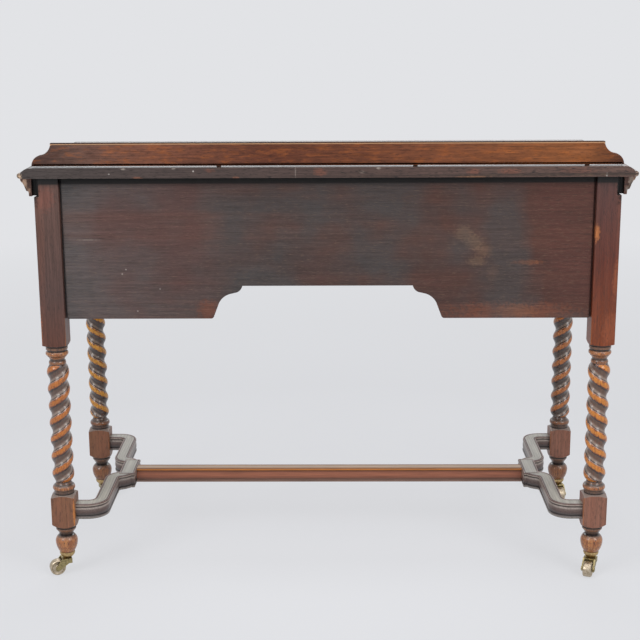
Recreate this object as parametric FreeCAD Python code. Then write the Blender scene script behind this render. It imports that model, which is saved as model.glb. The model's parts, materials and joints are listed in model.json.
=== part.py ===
import FreeCAD, Part
import math
import os

# Kneehole writing desk on four barley twist legs, with a low gallery along the back of the top.
# Frame: +Z up, floor at z = 0, origin under the middle of the top board.
# The drawers face -Y, the plain back faces +Y. Left and right are those of a person who sits at the desk.
# All lengths are in millimetres.

V = FreeCAD.Vector

# Whole desk
desk_width = 1066.8
desk_depth = 467.4
desk_height = 760.0
top_thickness = 18.0
edge_overhang = 25.6
back_overhang = 12.0
case_height = 252.0

# Shared joinery
joint_gap = 0.1
tenon_length = 12.0
tenon_thickness = 9.0
tenon_shoulder = 4.0
tongue_thickness = 6.0
tongue_depth = 8.0
cut_overrun = 5.0

# Moulded edge of the top: a thumb above a round nosing
edge_flat_set_in = 23.0
edge_thumb_set_in = 7.0
edge_thumb_drop = 8.5
edge_thumb_bulge = 1.6
nosing_set_in = 4.6
nosing_foot = 0.6

# Gallery board that stands on dowels just clear of the top
gallery_height = 39.3
gallery_thickness = 14.0
gallery_set_in = 8.0
gallery_gap = 2.2
gallery_end_set_in = 25.0
gallery_ogee_run = 33.5
gallery_foot_rise = 2.0
gallery_shoulder_drop = 4.0
gallery_arris = 2.0
ogee_middle_share = 0.08
ogee_bulge_share = 0.66
dowel_diameter = 8.0
dowel_depth = 10.0
dowel_place_shares = (-0.94, -0.32, 0.392)

# Bed moulding under the overhang of the top
moulding_height = 33.5
moulding_width = 25.0
moulding_back_set_in = 12.0
moulding_notch_depth = 10.0
moulding_notch_reach = 6.0
moulding_shares = (
    (0.0, 0.0), (0.43, 0.0), (0.49, 0.24), (0.63, 0.27), (0.75, 0.46, 0.86, 0.70),
    (1.0, 0.86, 0.95, 1.0), (0.0, 1.0),
)

# Legs: square post, turned neck, two-start twist, square block, vase foot
post_width = 42.8
foot_height = 50.4
block_height = 64.4
lower_turning_height = 23.6
post_below_case = 51.0
upper_turning_height = 34.8
block_foot_pommel = 8.5
block_top_pommel = 5.0
post_foot_pommel = 3.4
pommel_radius = 18.4
twist_pitch = 64.3
twist_ridge_radius = 19.9
twist_hollow_radius = 15.0
twist_flank_angle = 50.0
twist_first_ridge = 12.6
twist_end_round = 14.0
spigot_radius = 11.0
spigot_length = 5.0
foot_shares = (
    (0.617, 0.0), (0.883, 0.234, 0.944, 0.391), (0.888, 0.542, 0.710, 0.643), (0.561, 0.675),
    (0.680, 0.788, 0.860, 0.899), (0.860, 0.954), (0.808, 0.964), (0.808, 1.0),
)
lower_turning_shares = (
    (0.808, 0.0), (0.808, 0.035), (0.850, 0.060), (0.850, 0.275), (0.869, 0.300),
    (0.949, 0.530, 0.813, 0.797), (0.776, 0.810), (0.680, 0.890, 0.631, 1.0),
)
upper_turning_shares = (
    (0.692, 0.0), (0.743, 0.103, 0.668, 0.201), (0.626, 0.216), (0.626, 0.270),
    (0.706, 0.365, 0.813, 0.443), (0.785, 0.460), (0.951, 0.580, 0.832, 0.713), (0.813, 0.724),
    (0.813, 0.787), (0.916, 0.805), (0.916, 0.928), (0.860, 0.950), (0.860, 1.0),
)

# Brass casters
socket_height = 12.0
socket_top_radius = 14.0
socket_foot_radius = 7.6
socket_floor = 7.0
socket_waist_share = 0.93
socket_rim_share = 0.25
socket_fit = 0.2
horn_gap = 0.3
pivot_radius = 3.0
pivot_length = 11.0
pivot_running_fit = 0.05
pivot_end_room = 1.0
wheel_radius = 14.3
wheel_width = 15.0
wheel_dish = 1.2
wheel_top_room = 3.1
wheel_rim_share = 0.80
wheel_hub_share = 0.34
wheel_tread_share = 0.10
caster_trail = 19.5
cheek_thickness = 2.8
cheek_gap = 1.2
horn_neck_radius = 6.4
horn_neck_height = 9.0
horn_roof_thickness = 2.0
horn_roof_reach = 12.0
cheek_eye_radius = 5.2
axle_radius = 2.0
axle_running_fit = 0.05
axle_head_radius = 3.4
axle_head_height = 1.0

# Stretchers
stretcher_height = 28.0
stretcher_floor_gap = 111.0
end_stretcher_width = 27.0
long_stretcher_width = 24.0
stretcher_bend_radius = 24.0
stretcher_set_in = 44.0
stretcher_step = 27.3
stretcher_step_length = 40.0
stretcher_waist = 44.0
stretcher_block_width = 31.0
stretcher_block_length = 84.0
stretcher_block_shift = 4.0
stretcher_side_shares = (
    (0.70, 1.0), (0.76, 0.965), (0.82, 1.0), (0.92, 1.0), (1.0, 0.93), (1.0, 0.85), (0.88, 0.80),
    (0.93, 0.75), (1.0, 0.50, 0.93, 0.25), (0.88, 0.20), (1.0, 0.15), (1.0, 0.06), (0.94, 0.0),
)

# Back panel and kneehole
back_panel_thickness = 12.0
back_panel_set_in = 7.0
back_panel_side_gap = 3.6
kneehole_foot_width = 414.0
kneehole_rise = 59.0
kneehole_shares = (
    (1.0, 0.0), (0.983, 0.014, 0.972, 0.061), (0.927, 0.475), (0.881, 0.668, 0.814, 0.766),
    (0.773, 0.800), (0.744, 0.869, 0.725, 1.0),
)

# Case boards
side_panel_thickness = 14.0
side_panel_set_in = 8.0
partition_thickness = 18.0
partition_set_back = 3.0
top_rail_height = 30.0
top_rail_depth = 20.0
rail_height = 18.0
rail_set_back = 2.0
apron_thickness = 20.0
runner_width = 16.0
guide_height = 14.0
kicker_width = 16.0
glue_block_leg = 18.0
glue_block_length = 50.0

# Drawers
drawer_gap = 1.0
drawer_running_gap = 0.2
drawer_front_thickness = 20.0
drawer_front_thumb = 3.0
drawer_rear_room = 27.6
drawer_side_thickness = 9.0
drawer_side_drop = 6.0
drawer_back_set_in = 8.0
drawer_bottom_thickness = 6.0
drawer_bottom_lift = 7.0
drawer_groove_depth = 4.0

# Brass drop handles
plate_length = 92.0
plate_height = 34.0
plate_waist = 20.0
plate_thickness = 1.6
plate_lobe_share = 0.80
post_spacing = 64.0
handle_post_radius = 4.4
handle_post_length = 11.0
handle_post_tip_share = 0.55
handle_shank_radius = 2.2
handle_nut_across = 9.0
handle_nut_height = 3.0
handle_shank_end = 1.5
bail_radius = 2.3
bail_fit = 0.06
bail_pin_reach = 7.6
bail_stand_off = 7.0
bail_drop = 27.0
bail_bend_radius = 9.0
bail_elbow_radius = 4.0

# Places worked out from the sizes above
half_width = desk_width / 2
half_depth = desk_depth / 2
top_bottom = desk_height - top_thickness
case_bottom = top_bottom - case_height
half_post = post_width / 2
leg_x = half_width - edge_overhang - half_post
rear_leg_y = half_depth - back_overhang - half_post
front_leg_y = -half_depth + edge_overhang + half_post
mid_y = (rear_leg_y + front_leg_y) / 2
post_face_y = front_leg_y - half_post
rail_rear_y = front_leg_y + half_post
rear_post_front_y = rear_leg_y - half_post
post_inner_x = leg_x - half_post
post_outer_x = leg_x + half_post

socket_bottom = 2 * wheel_radius + wheel_top_room
foot_bottom = socket_bottom + socket_height
block_bottom = foot_bottom + foot_height
block_top = block_bottom + block_height
twist_bottom = block_top + lower_turning_height
post_bottom = case_bottom - post_below_case
twist_top = post_bottom - upper_turning_height
twist_height = twist_top - twist_bottom

panel_rear_y = half_depth - back_overhang - back_panel_set_in
panel_front_y = panel_rear_y - back_panel_thickness
partition_inner_x = kneehole_foot_width / 2 + partition_set_back
partition_outer_x = partition_inner_x + partition_thickness
side_panel_outer_x = post_outer_x - side_panel_set_in
side_panel_inner_x = side_panel_outer_x - side_panel_thickness

upper_opening_top = top_bottom - top_rail_height
bottom_rail_top = case_bottom + rail_height
row_height = (upper_opening_top - bottom_rail_top - rail_height) / 2
mid_rail_bottom = bottom_rail_top + row_height
mid_rail_top = mid_rail_bottom + rail_height
rail_front_y = post_face_y + rail_set_back
drawer_length = panel_front_y - rail_front_y - drawer_rear_room


def box(low, high):
    """A square-cornered block between two corners."""
    return Part.makeBox(high[0] - low[0], high[1] - low[1], high[2] - low[2], V(*low))


def outline(points, place):
    """A closed wire. A row of two numbers is a straight run to that point, a row of four is an arc
    through its first pair to its second pair. place turns a pair into a point in space."""
    edges = []
    here = points[0]
    for row in list(points[1:]) + [points[0]]:
        there = row[-2:]
        if len(row) == 4:
            edges.append(Part.Arc(place(*here), place(*row[:2]), place(*there)).toShape())
        elif math.dist(here, there) > 0:
            edges.append(Part.makeLine(place(*here), place(*there)))
        here = there
    return Part.Wire(edges)


def plate_xz(points, y_low, y_high):
    """An outline in the XZ plane, given a thickness along Y."""
    face = Part.Face(outline(points, lambda x, z: V(x, y_low, z)))
    return face.extrude(V(0, y_high - y_low, 0))


def bar_along_x(points, x_low, x_high):
    """A YZ section carried along X."""
    face = Part.Face(outline(points, lambda y, z: V(x_low, y, z)))
    return face.extrude(V(x_high - x_low, 0, 0))


def turned(points):
    """A lathe profile of (radius, height) rows, spun round the Z axis."""
    face = Part.Face(outline(points, lambda r, z: V(r, 0, z)))
    return face.revolve(V(0, 0, 0), V(0, 0, 1), 360)


def scaled(shares, radius, low, height):
    """Rows of (radius share, height share) pairs as real sizes."""
    rows = []
    for row in shares:
        real = []
        for k in range(0, len(row), 2):
            real += [row[k] * radius, low + row[k + 1] * height]
        rows.append(tuple(real))
    return rows


def turned_shares(shares, radius, low, height):
    """A turned length whose profile is closed along the axis."""
    rows = scaled(shares, radius, low, height)
    return turned([(0, low)] + rows + [(0, low + height)])


def mirror_x(shape):
    return shape.mirror(V(0, 0, 0), V(1, 0, 0))


def both_sides(shape, name_right, name_left):
    return {name_right: shape, name_left: mirror_x(shape)}


def tenon_x(x_root, direction, y_mid, thickness, z_low, z_high, gap=0.0):
    """A tenon that leaves the plane x_root along X, or its mortise when a gap is given."""
    reach = direction * (tenon_length + gap)
    low_x, high_x = sorted((x_root, x_root + reach))
    half = thickness / 2 + gap
    return box((low_x, y_mid - half, z_low - gap), (high_x, y_mid + half, z_high + gap))


# Top board, gallery and bed mouldings

def edge_profile(reach, sign):
    """Outer half of the moulded edge as (offset, height) rows, from the flat top to the underside."""
    flat = reach - edge_flat_set_in
    thumb = reach - edge_thumb_set_in
    thumb_z = desk_height - edge_thumb_drop
    bulge_x = (flat + thumb) / 2 + edge_thumb_bulge
    bulge_z = (desk_height + thumb_z) / 2 + edge_thumb_bulge
    foot_z = top_bottom + nosing_foot
    nose_z = (thumb_z + foot_z) / 2
    nose_x = reach - nosing_set_in
    rows = [(flat, desk_height), (bulge_x, bulge_z, thumb, thumb_z), (nose_x, thumb_z),
            (reach, nose_z, nose_x, foot_z), (nose_x, top_bottom)]
    return [tuple(sign * v if k % 2 == 0 else v for k, v in enumerate(row)) for row in rows]


def reverse_rows(rows):
    """The same run of rows, walked from its last point to its first."""
    ends = [row[-2:] for row in rows]
    back = [ends[-1]]
    for k in range(len(rows) - 1, 0, -1):
        back.append(rows[k][:2] + ends[k - 1] if len(rows[k]) == 4 else ends[k - 1])
    return back


def top_board():
    right = edge_profile(half_width, 1)
    left = reverse_rows(edge_profile(half_width, -1))
    across = plate_xz(right + left, -half_depth, half_depth)
    front = edge_profile(half_depth, -1)
    along = bar_along_x(front + [(half_depth, top_bottom), (half_depth, desk_height)],
                        -half_width, half_width)
    board = across.common(along)
    for x in dowel_places():
        board = board.cut(dowel(x, joint_gap))
    return board


def gallery_place():
    rear = half_depth - gallery_set_in
    low = desk_height + gallery_gap
    return rear - gallery_thickness, rear, low


def dowel_places():
    reach = half_width - gallery_end_set_in - gallery_ogee_run
    return [share * reach for share in dowel_place_shares]


def dowel(x, gap=0.0):
    front, rear, low = gallery_place()
    foot = desk_height - dowel_depth - gap
    length = 2 * dowel_depth + gallery_gap + 2 * gap
    return Part.makeCylinder(dowel_diameter / 2 + gap, length, V(x, (front + rear) / 2, foot))


def gallery_board():
    front, rear, low = gallery_place()
    high = low + gallery_height
    foot_x = half_width - gallery_end_set_in
    head_x = foot_x - gallery_ogee_run
    foot_z = low + gallery_foot_rise
    shoulder_z = high - gallery_shoulder_drop
    mid_x = (foot_x + head_x) / 2 + gallery_ogee_run * ogee_middle_share
    mid_z = (foot_z + shoulder_z) / 2
    belly = (mid_x + (foot_x - mid_x) * ogee_bulge_share,
             mid_z - (mid_z - foot_z) * (1 - ogee_bulge_share))
    hollow = (head_x + (mid_x - head_x) * (1 - ogee_bulge_share),
              mid_z + (shoulder_z - mid_z) * (1 - ogee_bulge_share))
    right = [(foot_x, low), (foot_x, foot_z), belly + (mid_x, mid_z),
             hollow + (head_x, shoulder_z), (head_x, high)]
    left = [tuple(-v if k % 2 == 0 else v for k, v in enumerate(row)) for row in right]
    board = plate_xz(right + reverse_rows(left), front, rear)
    arrises = [e for e in board.Edges if e.BoundBox.ZMin > high - joint_gap and e.Length > gallery_height]
    board = board.makeFillet(gallery_arris, arrises)
    for x in dowel_places():
        board = board.cut(dowel(x, joint_gap))
    return board


def moulding_section():
    """Cove over a quarter round, as (out, height) rows from its foot to the underside of the top."""
    return scaled(moulding_shares, moulding_width, top_bottom - moulding_height, moulding_height)


def top_mouldings():
    """Side runs are let into the posts as deep as the side panel's face. They end square a little short
    of the back, with a notch beside the post, and are mitred to the front run."""
    outer_x = post_outer_x + moulding_width
    outer_y = post_face_y - moulding_width
    rear_y = half_depth - back_overhang - moulding_back_set_in
    side_rows = [tuple(post_outer_x + v if k % 2 == 0 else v for k, v in enumerate(row))
                 for row in moulding_section()]
    front_rows = [tuple(post_face_y - v if k % 2 == 0 else v for k, v in enumerate(row))
                  for row in moulding_section()]
    side = plate_xz(side_rows, outer_y, rear_y)
    front = bar_along_x(front_rows, -outer_x, outer_x)
    low, high = top_bottom - moulding_height - cut_overrun, top_bottom + cut_overrun
    inner = (post_outer_x - cut_overrun, post_face_y + cut_overrun)
    outer = (outer_x + cut_overrun, outer_y - cut_overrun)
    corner = Part.makePolygon([V(inner[0], inner[1], low), V(outer[0], outer[1], low),
                               V(inner[0], outer[1], low), V(inner[0], inner[1], low)])
    front_side = Part.Face(corner).extrude(V(0, 0, high - low))
    backing = box((side_panel_outer_x, post_face_y + side_panel_set_in, top_bottom - moulding_height),
                  (post_outer_x, rear_y, top_bottom))
    notch = box((side_panel_outer_x - cut_overrun, rear_y - moulding_notch_depth, low),
                (post_outer_x + moulding_notch_reach, rear_y + cut_overrun, high))
    side = side.cut(front_side).fuse(backing).removeSplitter().cut(notch)
    beyond = Part.makePolygon([V(inner[0], inner[1], low), V(outer[0], outer[1], low),
                               V(outer[0], inner[1], low), V(inner[0], inner[1], low)])
    end_cut = Part.Face(beyond).extrude(V(0, 0, high - low))
    front = front.cut(end_cut).cut(mirror_x(end_cut))
    nodes = both_sides(side, "right_top_moulding", "left_top_moulding")
    nodes["front_top_moulding"] = front
    return nodes


# Legs

def pommel(low, high, rise_low, rise_high):
    """Envelope that rounds the corners of a square where it meets the turning, as high as the rise.
    An end without a rise stays square."""
    wide = post_width
    steep = (wide - pommel_radius) / (half_post * math.sqrt(2) - pommel_radius)
    rows = [(0, low)]
    rows += [(pommel_radius, low), (wide, low + rise_low * steep)] if rise_low else [(wide, low)]
    rows += [(wide, high - rise_high * steep), (pommel_radius, high)] if rise_high else [(wide, high)]
    return turned(rows + [(0, high)])


def square_length(low, high, rise_low, rise_high):
    square = box((-half_post, -half_post, low), (half_post, half_post, high))
    return square.common(pommel(low, high, rise_low, rise_high))


def twist_section(start_angle):
    """Two round ridges with two rounded hollows between them, square to the leg's axis."""
    def at(radius, angle):
        turn = math.radians(angle + start_angle)
        return V(radius * math.cos(turn), radius * math.sin(turn), twist_bottom)
    flank_share = 0.415
    flank = twist_hollow_radius + flank_share * (twist_ridge_radius - twist_hollow_radius)
    edges = []
    for ridge in (0, 180):
        edges.append(Part.Arc(at(flank, ridge - twist_flank_angle), at(twist_ridge_radius, ridge),
                              at(flank, ridge + twist_flank_angle)).toShape())
        edges.append(Part.Arc(at(flank, ridge + twist_flank_angle), at(twist_hollow_radius, ridge + 90),
                              at(flank, ridge + 180 - twist_flank_angle)).toShape())
    return Part.Wire(edges)


def twist(hand):
    """Two-start twist: the section turns about the axis as it climbs. hand is 1 for right-handed."""
    start_angle = -hand * 360 * twist_first_ridge / twist_pitch
    axis = Part.Wire([Part.makeLine(V(0, 0, twist_bottom), V(0, 0, twist_top))])
    guide = Part.makeHelix(twist_pitch, twist_height, post_width, 0, hand < 0)
    guide.translate(V(0, 0, twist_bottom))
    sweep = Part.BRepOffsetAPI.MakePipeShell(axis)
    sweep.setAuxiliarySpine(Part.Wire(guide.Edges), True, 0)
    sweep.add(twist_section(start_angle))
    sweep.build()
    sweep.makeSolid()
    low_neck = lower_turning_shares[-1][0] * half_post
    high_neck = upper_turning_shares[0][0] * half_post
    wide = twist_ridge_radius + joint_gap
    bulge_share = 0.80
    low_bulge = low_neck + bulge_share * (wide - low_neck)
    high_bulge = high_neck + bulge_share * (wide - high_neck)
    step = twist_end_round / 2
    envelope = turned([(0, twist_bottom), (low_neck, twist_bottom),
                       (low_bulge, twist_bottom + step, wide, twist_bottom + twist_end_round),
                       (wide, twist_top - twist_end_round),
                       (high_bulge, twist_top - step, high_neck, twist_top), (0, twist_top)])
    return sweep.shape().common(envelope)


def foot():
    """Vase foot with the spigot that the caster's cup holds, bored for the caster's pivot."""
    body = turned_shares(foot_shares, half_post, foot_bottom, foot_height)
    spigot = Part.makeCylinder(spigot_radius, spigot_length, V(0, 0, foot_bottom - spigot_length))
    pivot_top = socket_bottom + pivot_length + pivot_end_room
    bore = Part.makeCylinder(pivot_radius + socket_fit, pivot_top - foot_bottom + spigot_length,
                             V(0, 0, foot_bottom - spigot_length))
    return body, spigot, bore


def plain_leg(hand):
    body, spigot, bore = foot()
    lower = turned_shares(lower_turning_shares, half_post, block_top, lower_turning_height)
    upper = turned_shares(upper_turning_shares, half_post, twist_top, upper_turning_height)
    block = square_length(block_bottom, block_top, block_foot_pommel, block_top_pommel)
    post = square_length(post_bottom, top_bottom, post_foot_pommel, 0)
    leg = post.multiFuse([upper, twist(hand), lower, block, body, spigot])
    return leg.cut(bore)


def legs():
    """The twists are handed in pairs: each leg is the mirror image of its neighbours."""
    nodes = {}
    mortises = leg_mortises()
    for end, y, side_hand in (("rear", rear_leg_y, 1), ("front", front_leg_y, -1)):
        for side, x in (("right", leg_x), ("left", -leg_x)):
            hand = side_hand if side == "right" else -side_hand
            leg = plain_leg(hand)
            leg.translate(V(x, y, 0))
            for cut in mortises[end]:
                leg = leg.cut(cut if side == "right" else mirror_x(cut))
            nodes[end + "_" + side + "_leg"] = leg
    return nodes


def leg_mortises():
    """What is cut from the right-hand legs for the boards, rails and stretchers that they hold."""
    gap = joint_gap
    side_low = (side_panel_tongue_x()[0] - gap, side_panel_tongue_x()[1] + gap)
    groove_low = case_bottom - gap
    rear_groove = box((side_low[0], rear_post_front_y - cut_overrun, groove_low),
                      (side_low[1], rear_post_front_y + tongue_depth + gap, top_bottom + cut_overrun))
    front_groove = box((side_low[0], rail_rear_y - tongue_depth - gap, groove_low),
                       (side_low[1], rail_rear_y + cut_overrun, top_bottom + cut_overrun))
    back_groove = box((post_inner_x - cut_overrun, panel_front_y - gap, groove_low),
                      (post_inner_x + tongue_depth + gap, panel_front_y + tongue_thickness + gap,
                       top_bottom + cut_overrun))
    top_tenon = rail_tenon(top_rail_depth, post_face_y, upper_opening_top, top_bottom, gap)
    rails = [rail_tenon(post_width - rail_set_back, rail_front_y, low, low + rail_height, gap)
             for low in (case_bottom, mid_rail_bottom)]
    rebates = [box((side_panel_outer_x, low_y - gap, top_bottom - moulding_height - gap),
                   (post_outer_x + cut_overrun, high_y + gap, top_bottom + cut_overrun))
               for low_y, high_y in ((rear_post_front_y, rear_leg_y + half_post),
                                     (post_face_y + side_panel_set_in, rail_rear_y))]
    return {"rear": [rear_groove, back_groove, rebates[0], stretcher_tenon(rear_leg_y, gap)],
            "front": [front_groove, top_tenon, rebates[1], stretcher_tenon(front_leg_y, gap)] + rails}


# Case

def side_panel_tongue_x():
    middle = (side_panel_inner_x + side_panel_outer_x) / 2
    return middle - tongue_thickness / 2, middle + tongue_thickness / 2


def side_panel():
    board = box((side_panel_inner_x, rail_rear_y, case_bottom),
                (side_panel_outer_x, rear_post_front_y, top_bottom))
    low, high = side_panel_tongue_x()
    tongue = box((low, rail_rear_y - tongue_depth, case_bottom),
                 (high, rear_post_front_y + tongue_depth, top_bottom))
    return board.fuse(tongue).removeSplitter()


def back_panel():
    """Panel behind the drawers, with the shaped opening: up the pedestal, round its top corner and over
    a small lip."""
    outer_x = post_inner_x - back_panel_side_gap
    right = [(outer_x, top_bottom), (outer_x, case_bottom)]
    right += scaled(kneehole_shares, kneehole_foot_width / 2, case_bottom, kneehole_rise)
    left = [tuple(-v if k % 2 == 0 else v for k, v in enumerate(row)) for row in right]
    board = plate_xz(right + reverse_rows(left), panel_front_y, panel_rear_y)
    for side in (1, -1):
        low, high = sorted((side * (outer_x - tongue_depth), side * (post_inner_x + tongue_depth)))
        tongue = box((low, panel_front_y, case_bottom), (high, panel_front_y + tongue_thickness, top_bottom))
        board = board.fuse(tongue)
    return board.removeSplitter()


def rail_tenon(depth, front_y, low, high, gap=0.0):
    """Tenon of a front rail at the right-hand post."""
    thickness = min(tenon_thickness, depth - tenon_shoulder)
    shoulder = min(tenon_shoulder, (high - low) / 4)
    return tenon_x(post_inner_x, 1, front_y + depth / 2, thickness, low + shoulder, high - shoulder, gap)


def housing(low, gap=0.0):
    """Stub of a divider rail in its partition."""
    shoulder = min(tenon_shoulder, rail_height / 4)
    depth = post_width - rail_set_back
    half = tenon_thickness / 2 + gap
    middle = rail_front_y + depth / 2
    return box((partition_outer_x - tongue_depth - gap, middle - half, low + shoulder - gap),
               (partition_outer_x + joint_gap, middle + half, low + rail_height - shoulder + gap))


def front_top_rail():
    rail = box((-post_inner_x, post_face_y, upper_opening_top),
               (post_inner_x, post_face_y + top_rail_depth, top_bottom))
    tenon = rail_tenon(top_rail_depth, post_face_y, upper_opening_top, top_bottom)
    return rail.multiFuse([tenon, mirror_x(tenon)]).removeSplitter()


def divider_rail(low):
    depth = post_width - rail_set_back
    rail = box((partition_outer_x, rail_front_y, low), (post_inner_x, rail_rear_y, low + rail_height))
    tenon = rail_tenon(depth, rail_front_y, low, low + rail_height)
    return rail.multiFuse([tenon, housing(low)]).removeSplitter()


def apron_tenon(gap=0.0):
    middle = rail_front_y + apron_thickness / 2
    low = mid_rail_top - tenon_shoulder - 2 * rail_height
    half = tenon_thickness / 2 + gap
    return box((partition_inner_x - joint_gap, middle - half, low - gap),
               (partition_inner_x + tongue_depth + gap, middle + half, mid_rail_top - tenon_shoulder + gap))


def kneehole_apron():
    """Rail over the kneehole that repeats the upper outline of the back panel's opening."""
    reach = partition_inner_x / kneehole_shares[2][0]
    rows = scaled(kneehole_shares, reach, case_bottom, kneehole_rise)[2:]
    right = [(partition_inner_x, mid_rail_top)] + rows
    left = [tuple(-v if k % 2 == 0 else v for k, v in enumerate(row)) for row in right]
    board = plate_xz(right + reverse_rows(left), rail_front_y, rail_front_y + apron_thickness)
    tenon = apron_tenon()
    return board.multiFuse([tenon, mirror_x(tenon)]).removeSplitter()


def partition():
    board = box((partition_inner_x, rail_front_y, case_bottom),
                (partition_outer_x, panel_front_y, top_bottom))
    notch = box((partition_inner_x - cut_overrun, post_face_y - cut_overrun, upper_opening_top),
                (partition_outer_x + cut_overrun, post_face_y + top_rail_depth, top_bottom + cut_overrun))
    board = board.cut(notch).cut(apron_tenon(joint_gap))
    for low in (case_bottom, mid_rail_bottom):
        board = board.cut(housing(low, joint_gap))
    return board


def drawer_runners():
    """Bars that carry the drawers. Those beside a side panel have a guide for the drawer's side."""
    bars = []
    inner_x = post_inner_x - runner_width
    for top in (bottom_rail_top, mid_rail_top):
        low = top - rail_height
        by_partition = box((partition_outer_x, rail_rear_y, low),
                           (partition_outer_x + runner_width, panel_front_y, top))
        by_side = box((inner_x, rail_rear_y, low), (side_panel_inner_x, rear_post_front_y, top))
        guide = box((post_inner_x, rail_rear_y, top),
                    (side_panel_inner_x, rear_post_front_y, top + guide_height))
        bars += [by_partition, by_side.fuse(guide).removeSplitter()]
    apron_rear_y = rail_front_y + apron_thickness
    centre = box((partition_inner_x - runner_width, apron_rear_y, mid_rail_top - rail_height),
                 (partition_inner_x, panel_front_y, mid_rail_top))
    bars.append(centre)
    return Part.makeCompound(bars + [mirror_x(bar) for bar in bars])


def drawer_kickers():
    """Bars above the upper drawers that stop them tipping when they are pulled out."""
    front_y = post_face_y + top_rail_depth
    spans = ((partition_outer_x, partition_outer_x + kicker_width, front_y, panel_front_y),
             (partition_inner_x - kicker_width, partition_inner_x, front_y, panel_front_y),
             (post_inner_x - kicker_width, side_panel_inner_x, rail_rear_y, rear_post_front_y))
    bars = [box((x0, y0, upper_opening_top), (x1, y1, top_bottom)) for x0, x1, y0, y1 in spans]
    return Part.makeCompound(bars + [mirror_x(bar) for bar in bars])


def glue_blocks():
    """Three-cornered blocks that hold the top board to the front rail and the back panel."""
    rail_y = post_face_y + top_rail_depth
    centre_x = partition_inner_x / 2
    pedestal_x = (partition_outer_x + post_inner_x) / 2
    blocks = []
    for corner_y, into in ((rail_y, 1), (panel_front_y, -1)):
        for x in (centre_x, pedestal_x):
            rows = [(corner_y, top_bottom), (corner_y + into * glue_block_leg, top_bottom),
                    (corner_y, top_bottom - glue_block_leg)]
            blocks.append(bar_along_x(rows, x - glue_block_length / 2, x + glue_block_length / 2))
    return Part.makeCompound(blocks + [mirror_x(block) for block in blocks])


# Stretchers

def stretcher_rows(width):
    """Section of a moulded stretcher as (across, up) rows: beads at the corners, a broad round between."""
    half = width / 2
    right = scaled(stretcher_side_shares, 1.0, stretcher_floor_gap, stretcher_height)
    right = [tuple(v * half if k % 2 == 0 else v for k, v in enumerate(row)) for row in right]
    left = [tuple(-v if k % 2 == 0 else v for k, v in enumerate(row)) for row in right]
    return right + reverse_rows(left)


class Walk:
    """Carries the stretcher's section along straight runs and bends that meet tangent."""

    def __init__(self, x, y, heading, width):
        self.x, self.y, self.heading, self.width = x, y, heading, width
        self.pieces = []

    def face(self):
        turn = math.radians(self.heading)
        across = V(-math.sin(turn), math.cos(turn), 0)
        here = V(self.x, self.y, 0)
        return Part.Face(outline(stretcher_rows(self.width), lambda u, z: here + across * u + V(0, 0, z)))

    def run(self, length):
        turn = math.radians(self.heading)
        step = V(math.cos(turn) * length, math.sin(turn) * length, 0)
        self.pieces.append(self.face().extrude(step))
        self.x += step.x
        self.y += step.y

    def bend(self, radius, angle):
        side = 1 if angle > 0 else -1
        turn = math.radians(self.heading)
        centre = V(self.x - side * radius * math.sin(turn), self.y + side * radius * math.cos(turn), 0)
        self.pieces.append(self.face().revolve(centre, V(0, 0, 1), angle))
        self.heading += angle
        turn = math.radians(self.heading)
        self.x = centre.x + side * radius * math.sin(turn)
        self.y = centre.y - side * radius * math.cos(turn)


def stretcher_tenon(y, gap=0.0):
    low = stretcher_floor_gap + tenon_shoulder
    high = stretcher_floor_gap + stretcher_height - tenon_shoulder
    return tenon_x(post_inner_x, 1, y, tenon_thickness, low, high, gap)


def stretcher_block_x():
    """The block stands out a little further on the side away from the long stretcher."""
    outer = post_inner_x - stretcher_set_in - stretcher_step + end_stretcher_width / 2 + stretcher_block_shift
    return outer - stretcher_block_width, outer


def long_tenon(gap=0.0):
    """Tenon of the long stretcher in the right-hand end stretcher's block."""
    low = stretcher_floor_gap + tenon_shoulder
    high = stretcher_floor_gap + stretcher_height - tenon_shoulder
    return tenon_x(stretcher_block_x()[0], 1, mid_y, tenon_thickness, low, high, gap)


def end_stretcher():
    """From the rear block inwards, round a bend, forwards, and by an ogee step to the middle block.
    The front half is its mirror image."""
    step_angle = math.degrees(2 * math.atan(stretcher_step / stretcher_step_length))
    step_radius = stretcher_step / 2 / (1 - math.cos(math.radians(step_angle)))
    walk = Walk(post_inner_x, rear_leg_y, 180, end_stretcher_width)
    walk.run(stretcher_set_in - stretcher_bend_radius)
    walk.bend(stretcher_bend_radius, 90)
    walk.run(walk.y - mid_y - stretcher_waist / 2 - stretcher_step_length)
    walk.bend(step_radius, -step_angle)
    walk.bend(step_radius, step_angle)
    walk.run(stretcher_waist / 2)
    half = [stretcher_tenon(rear_leg_y)] + walk.pieces
    mirrored = [piece.mirror(V(0, mid_y, 0), V(0, 1, 0)) for piece in half]
    low_x, high_x = stretcher_block_x()
    reach = stretcher_block_length / 2
    block = box((low_x, mid_y - reach, stretcher_floor_gap),
                (high_x, mid_y + reach, stretcher_floor_gap + stretcher_height))
    whole = block.multiFuse(half + mirrored).removeSplitter()
    return whole.cut(long_tenon(joint_gap))


def long_stretcher():
    reach = stretcher_block_x()[0]
    walk = Walk(-reach, mid_y, 0, long_stretcher_width)
    walk.run(2 * reach)
    tenon = long_tenon()
    return walk.pieces[0].multiFuse([tenon, mirror_x(tenon)]).removeSplitter()


# Drawers

def drawer_places():
    """Each drawer's opening as (low x, high x, rail top, opening top)."""
    pedestal = (partition_outer_x, post_inner_x)
    rows = {"upper": (mid_rail_top, upper_opening_top), "lower": (bottom_rail_top, mid_rail_bottom)}
    places = {"centre_drawer": (-partition_inner_x, partition_inner_x) + rows["upper"]}
    for name, (low, high) in rows.items():
        places["right_" + name + "_drawer"] = pedestal + (low, high)
        places["left_" + name + "_drawer"] = (-pedestal[1], -pedestal[0], low, high)
    return places


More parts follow.
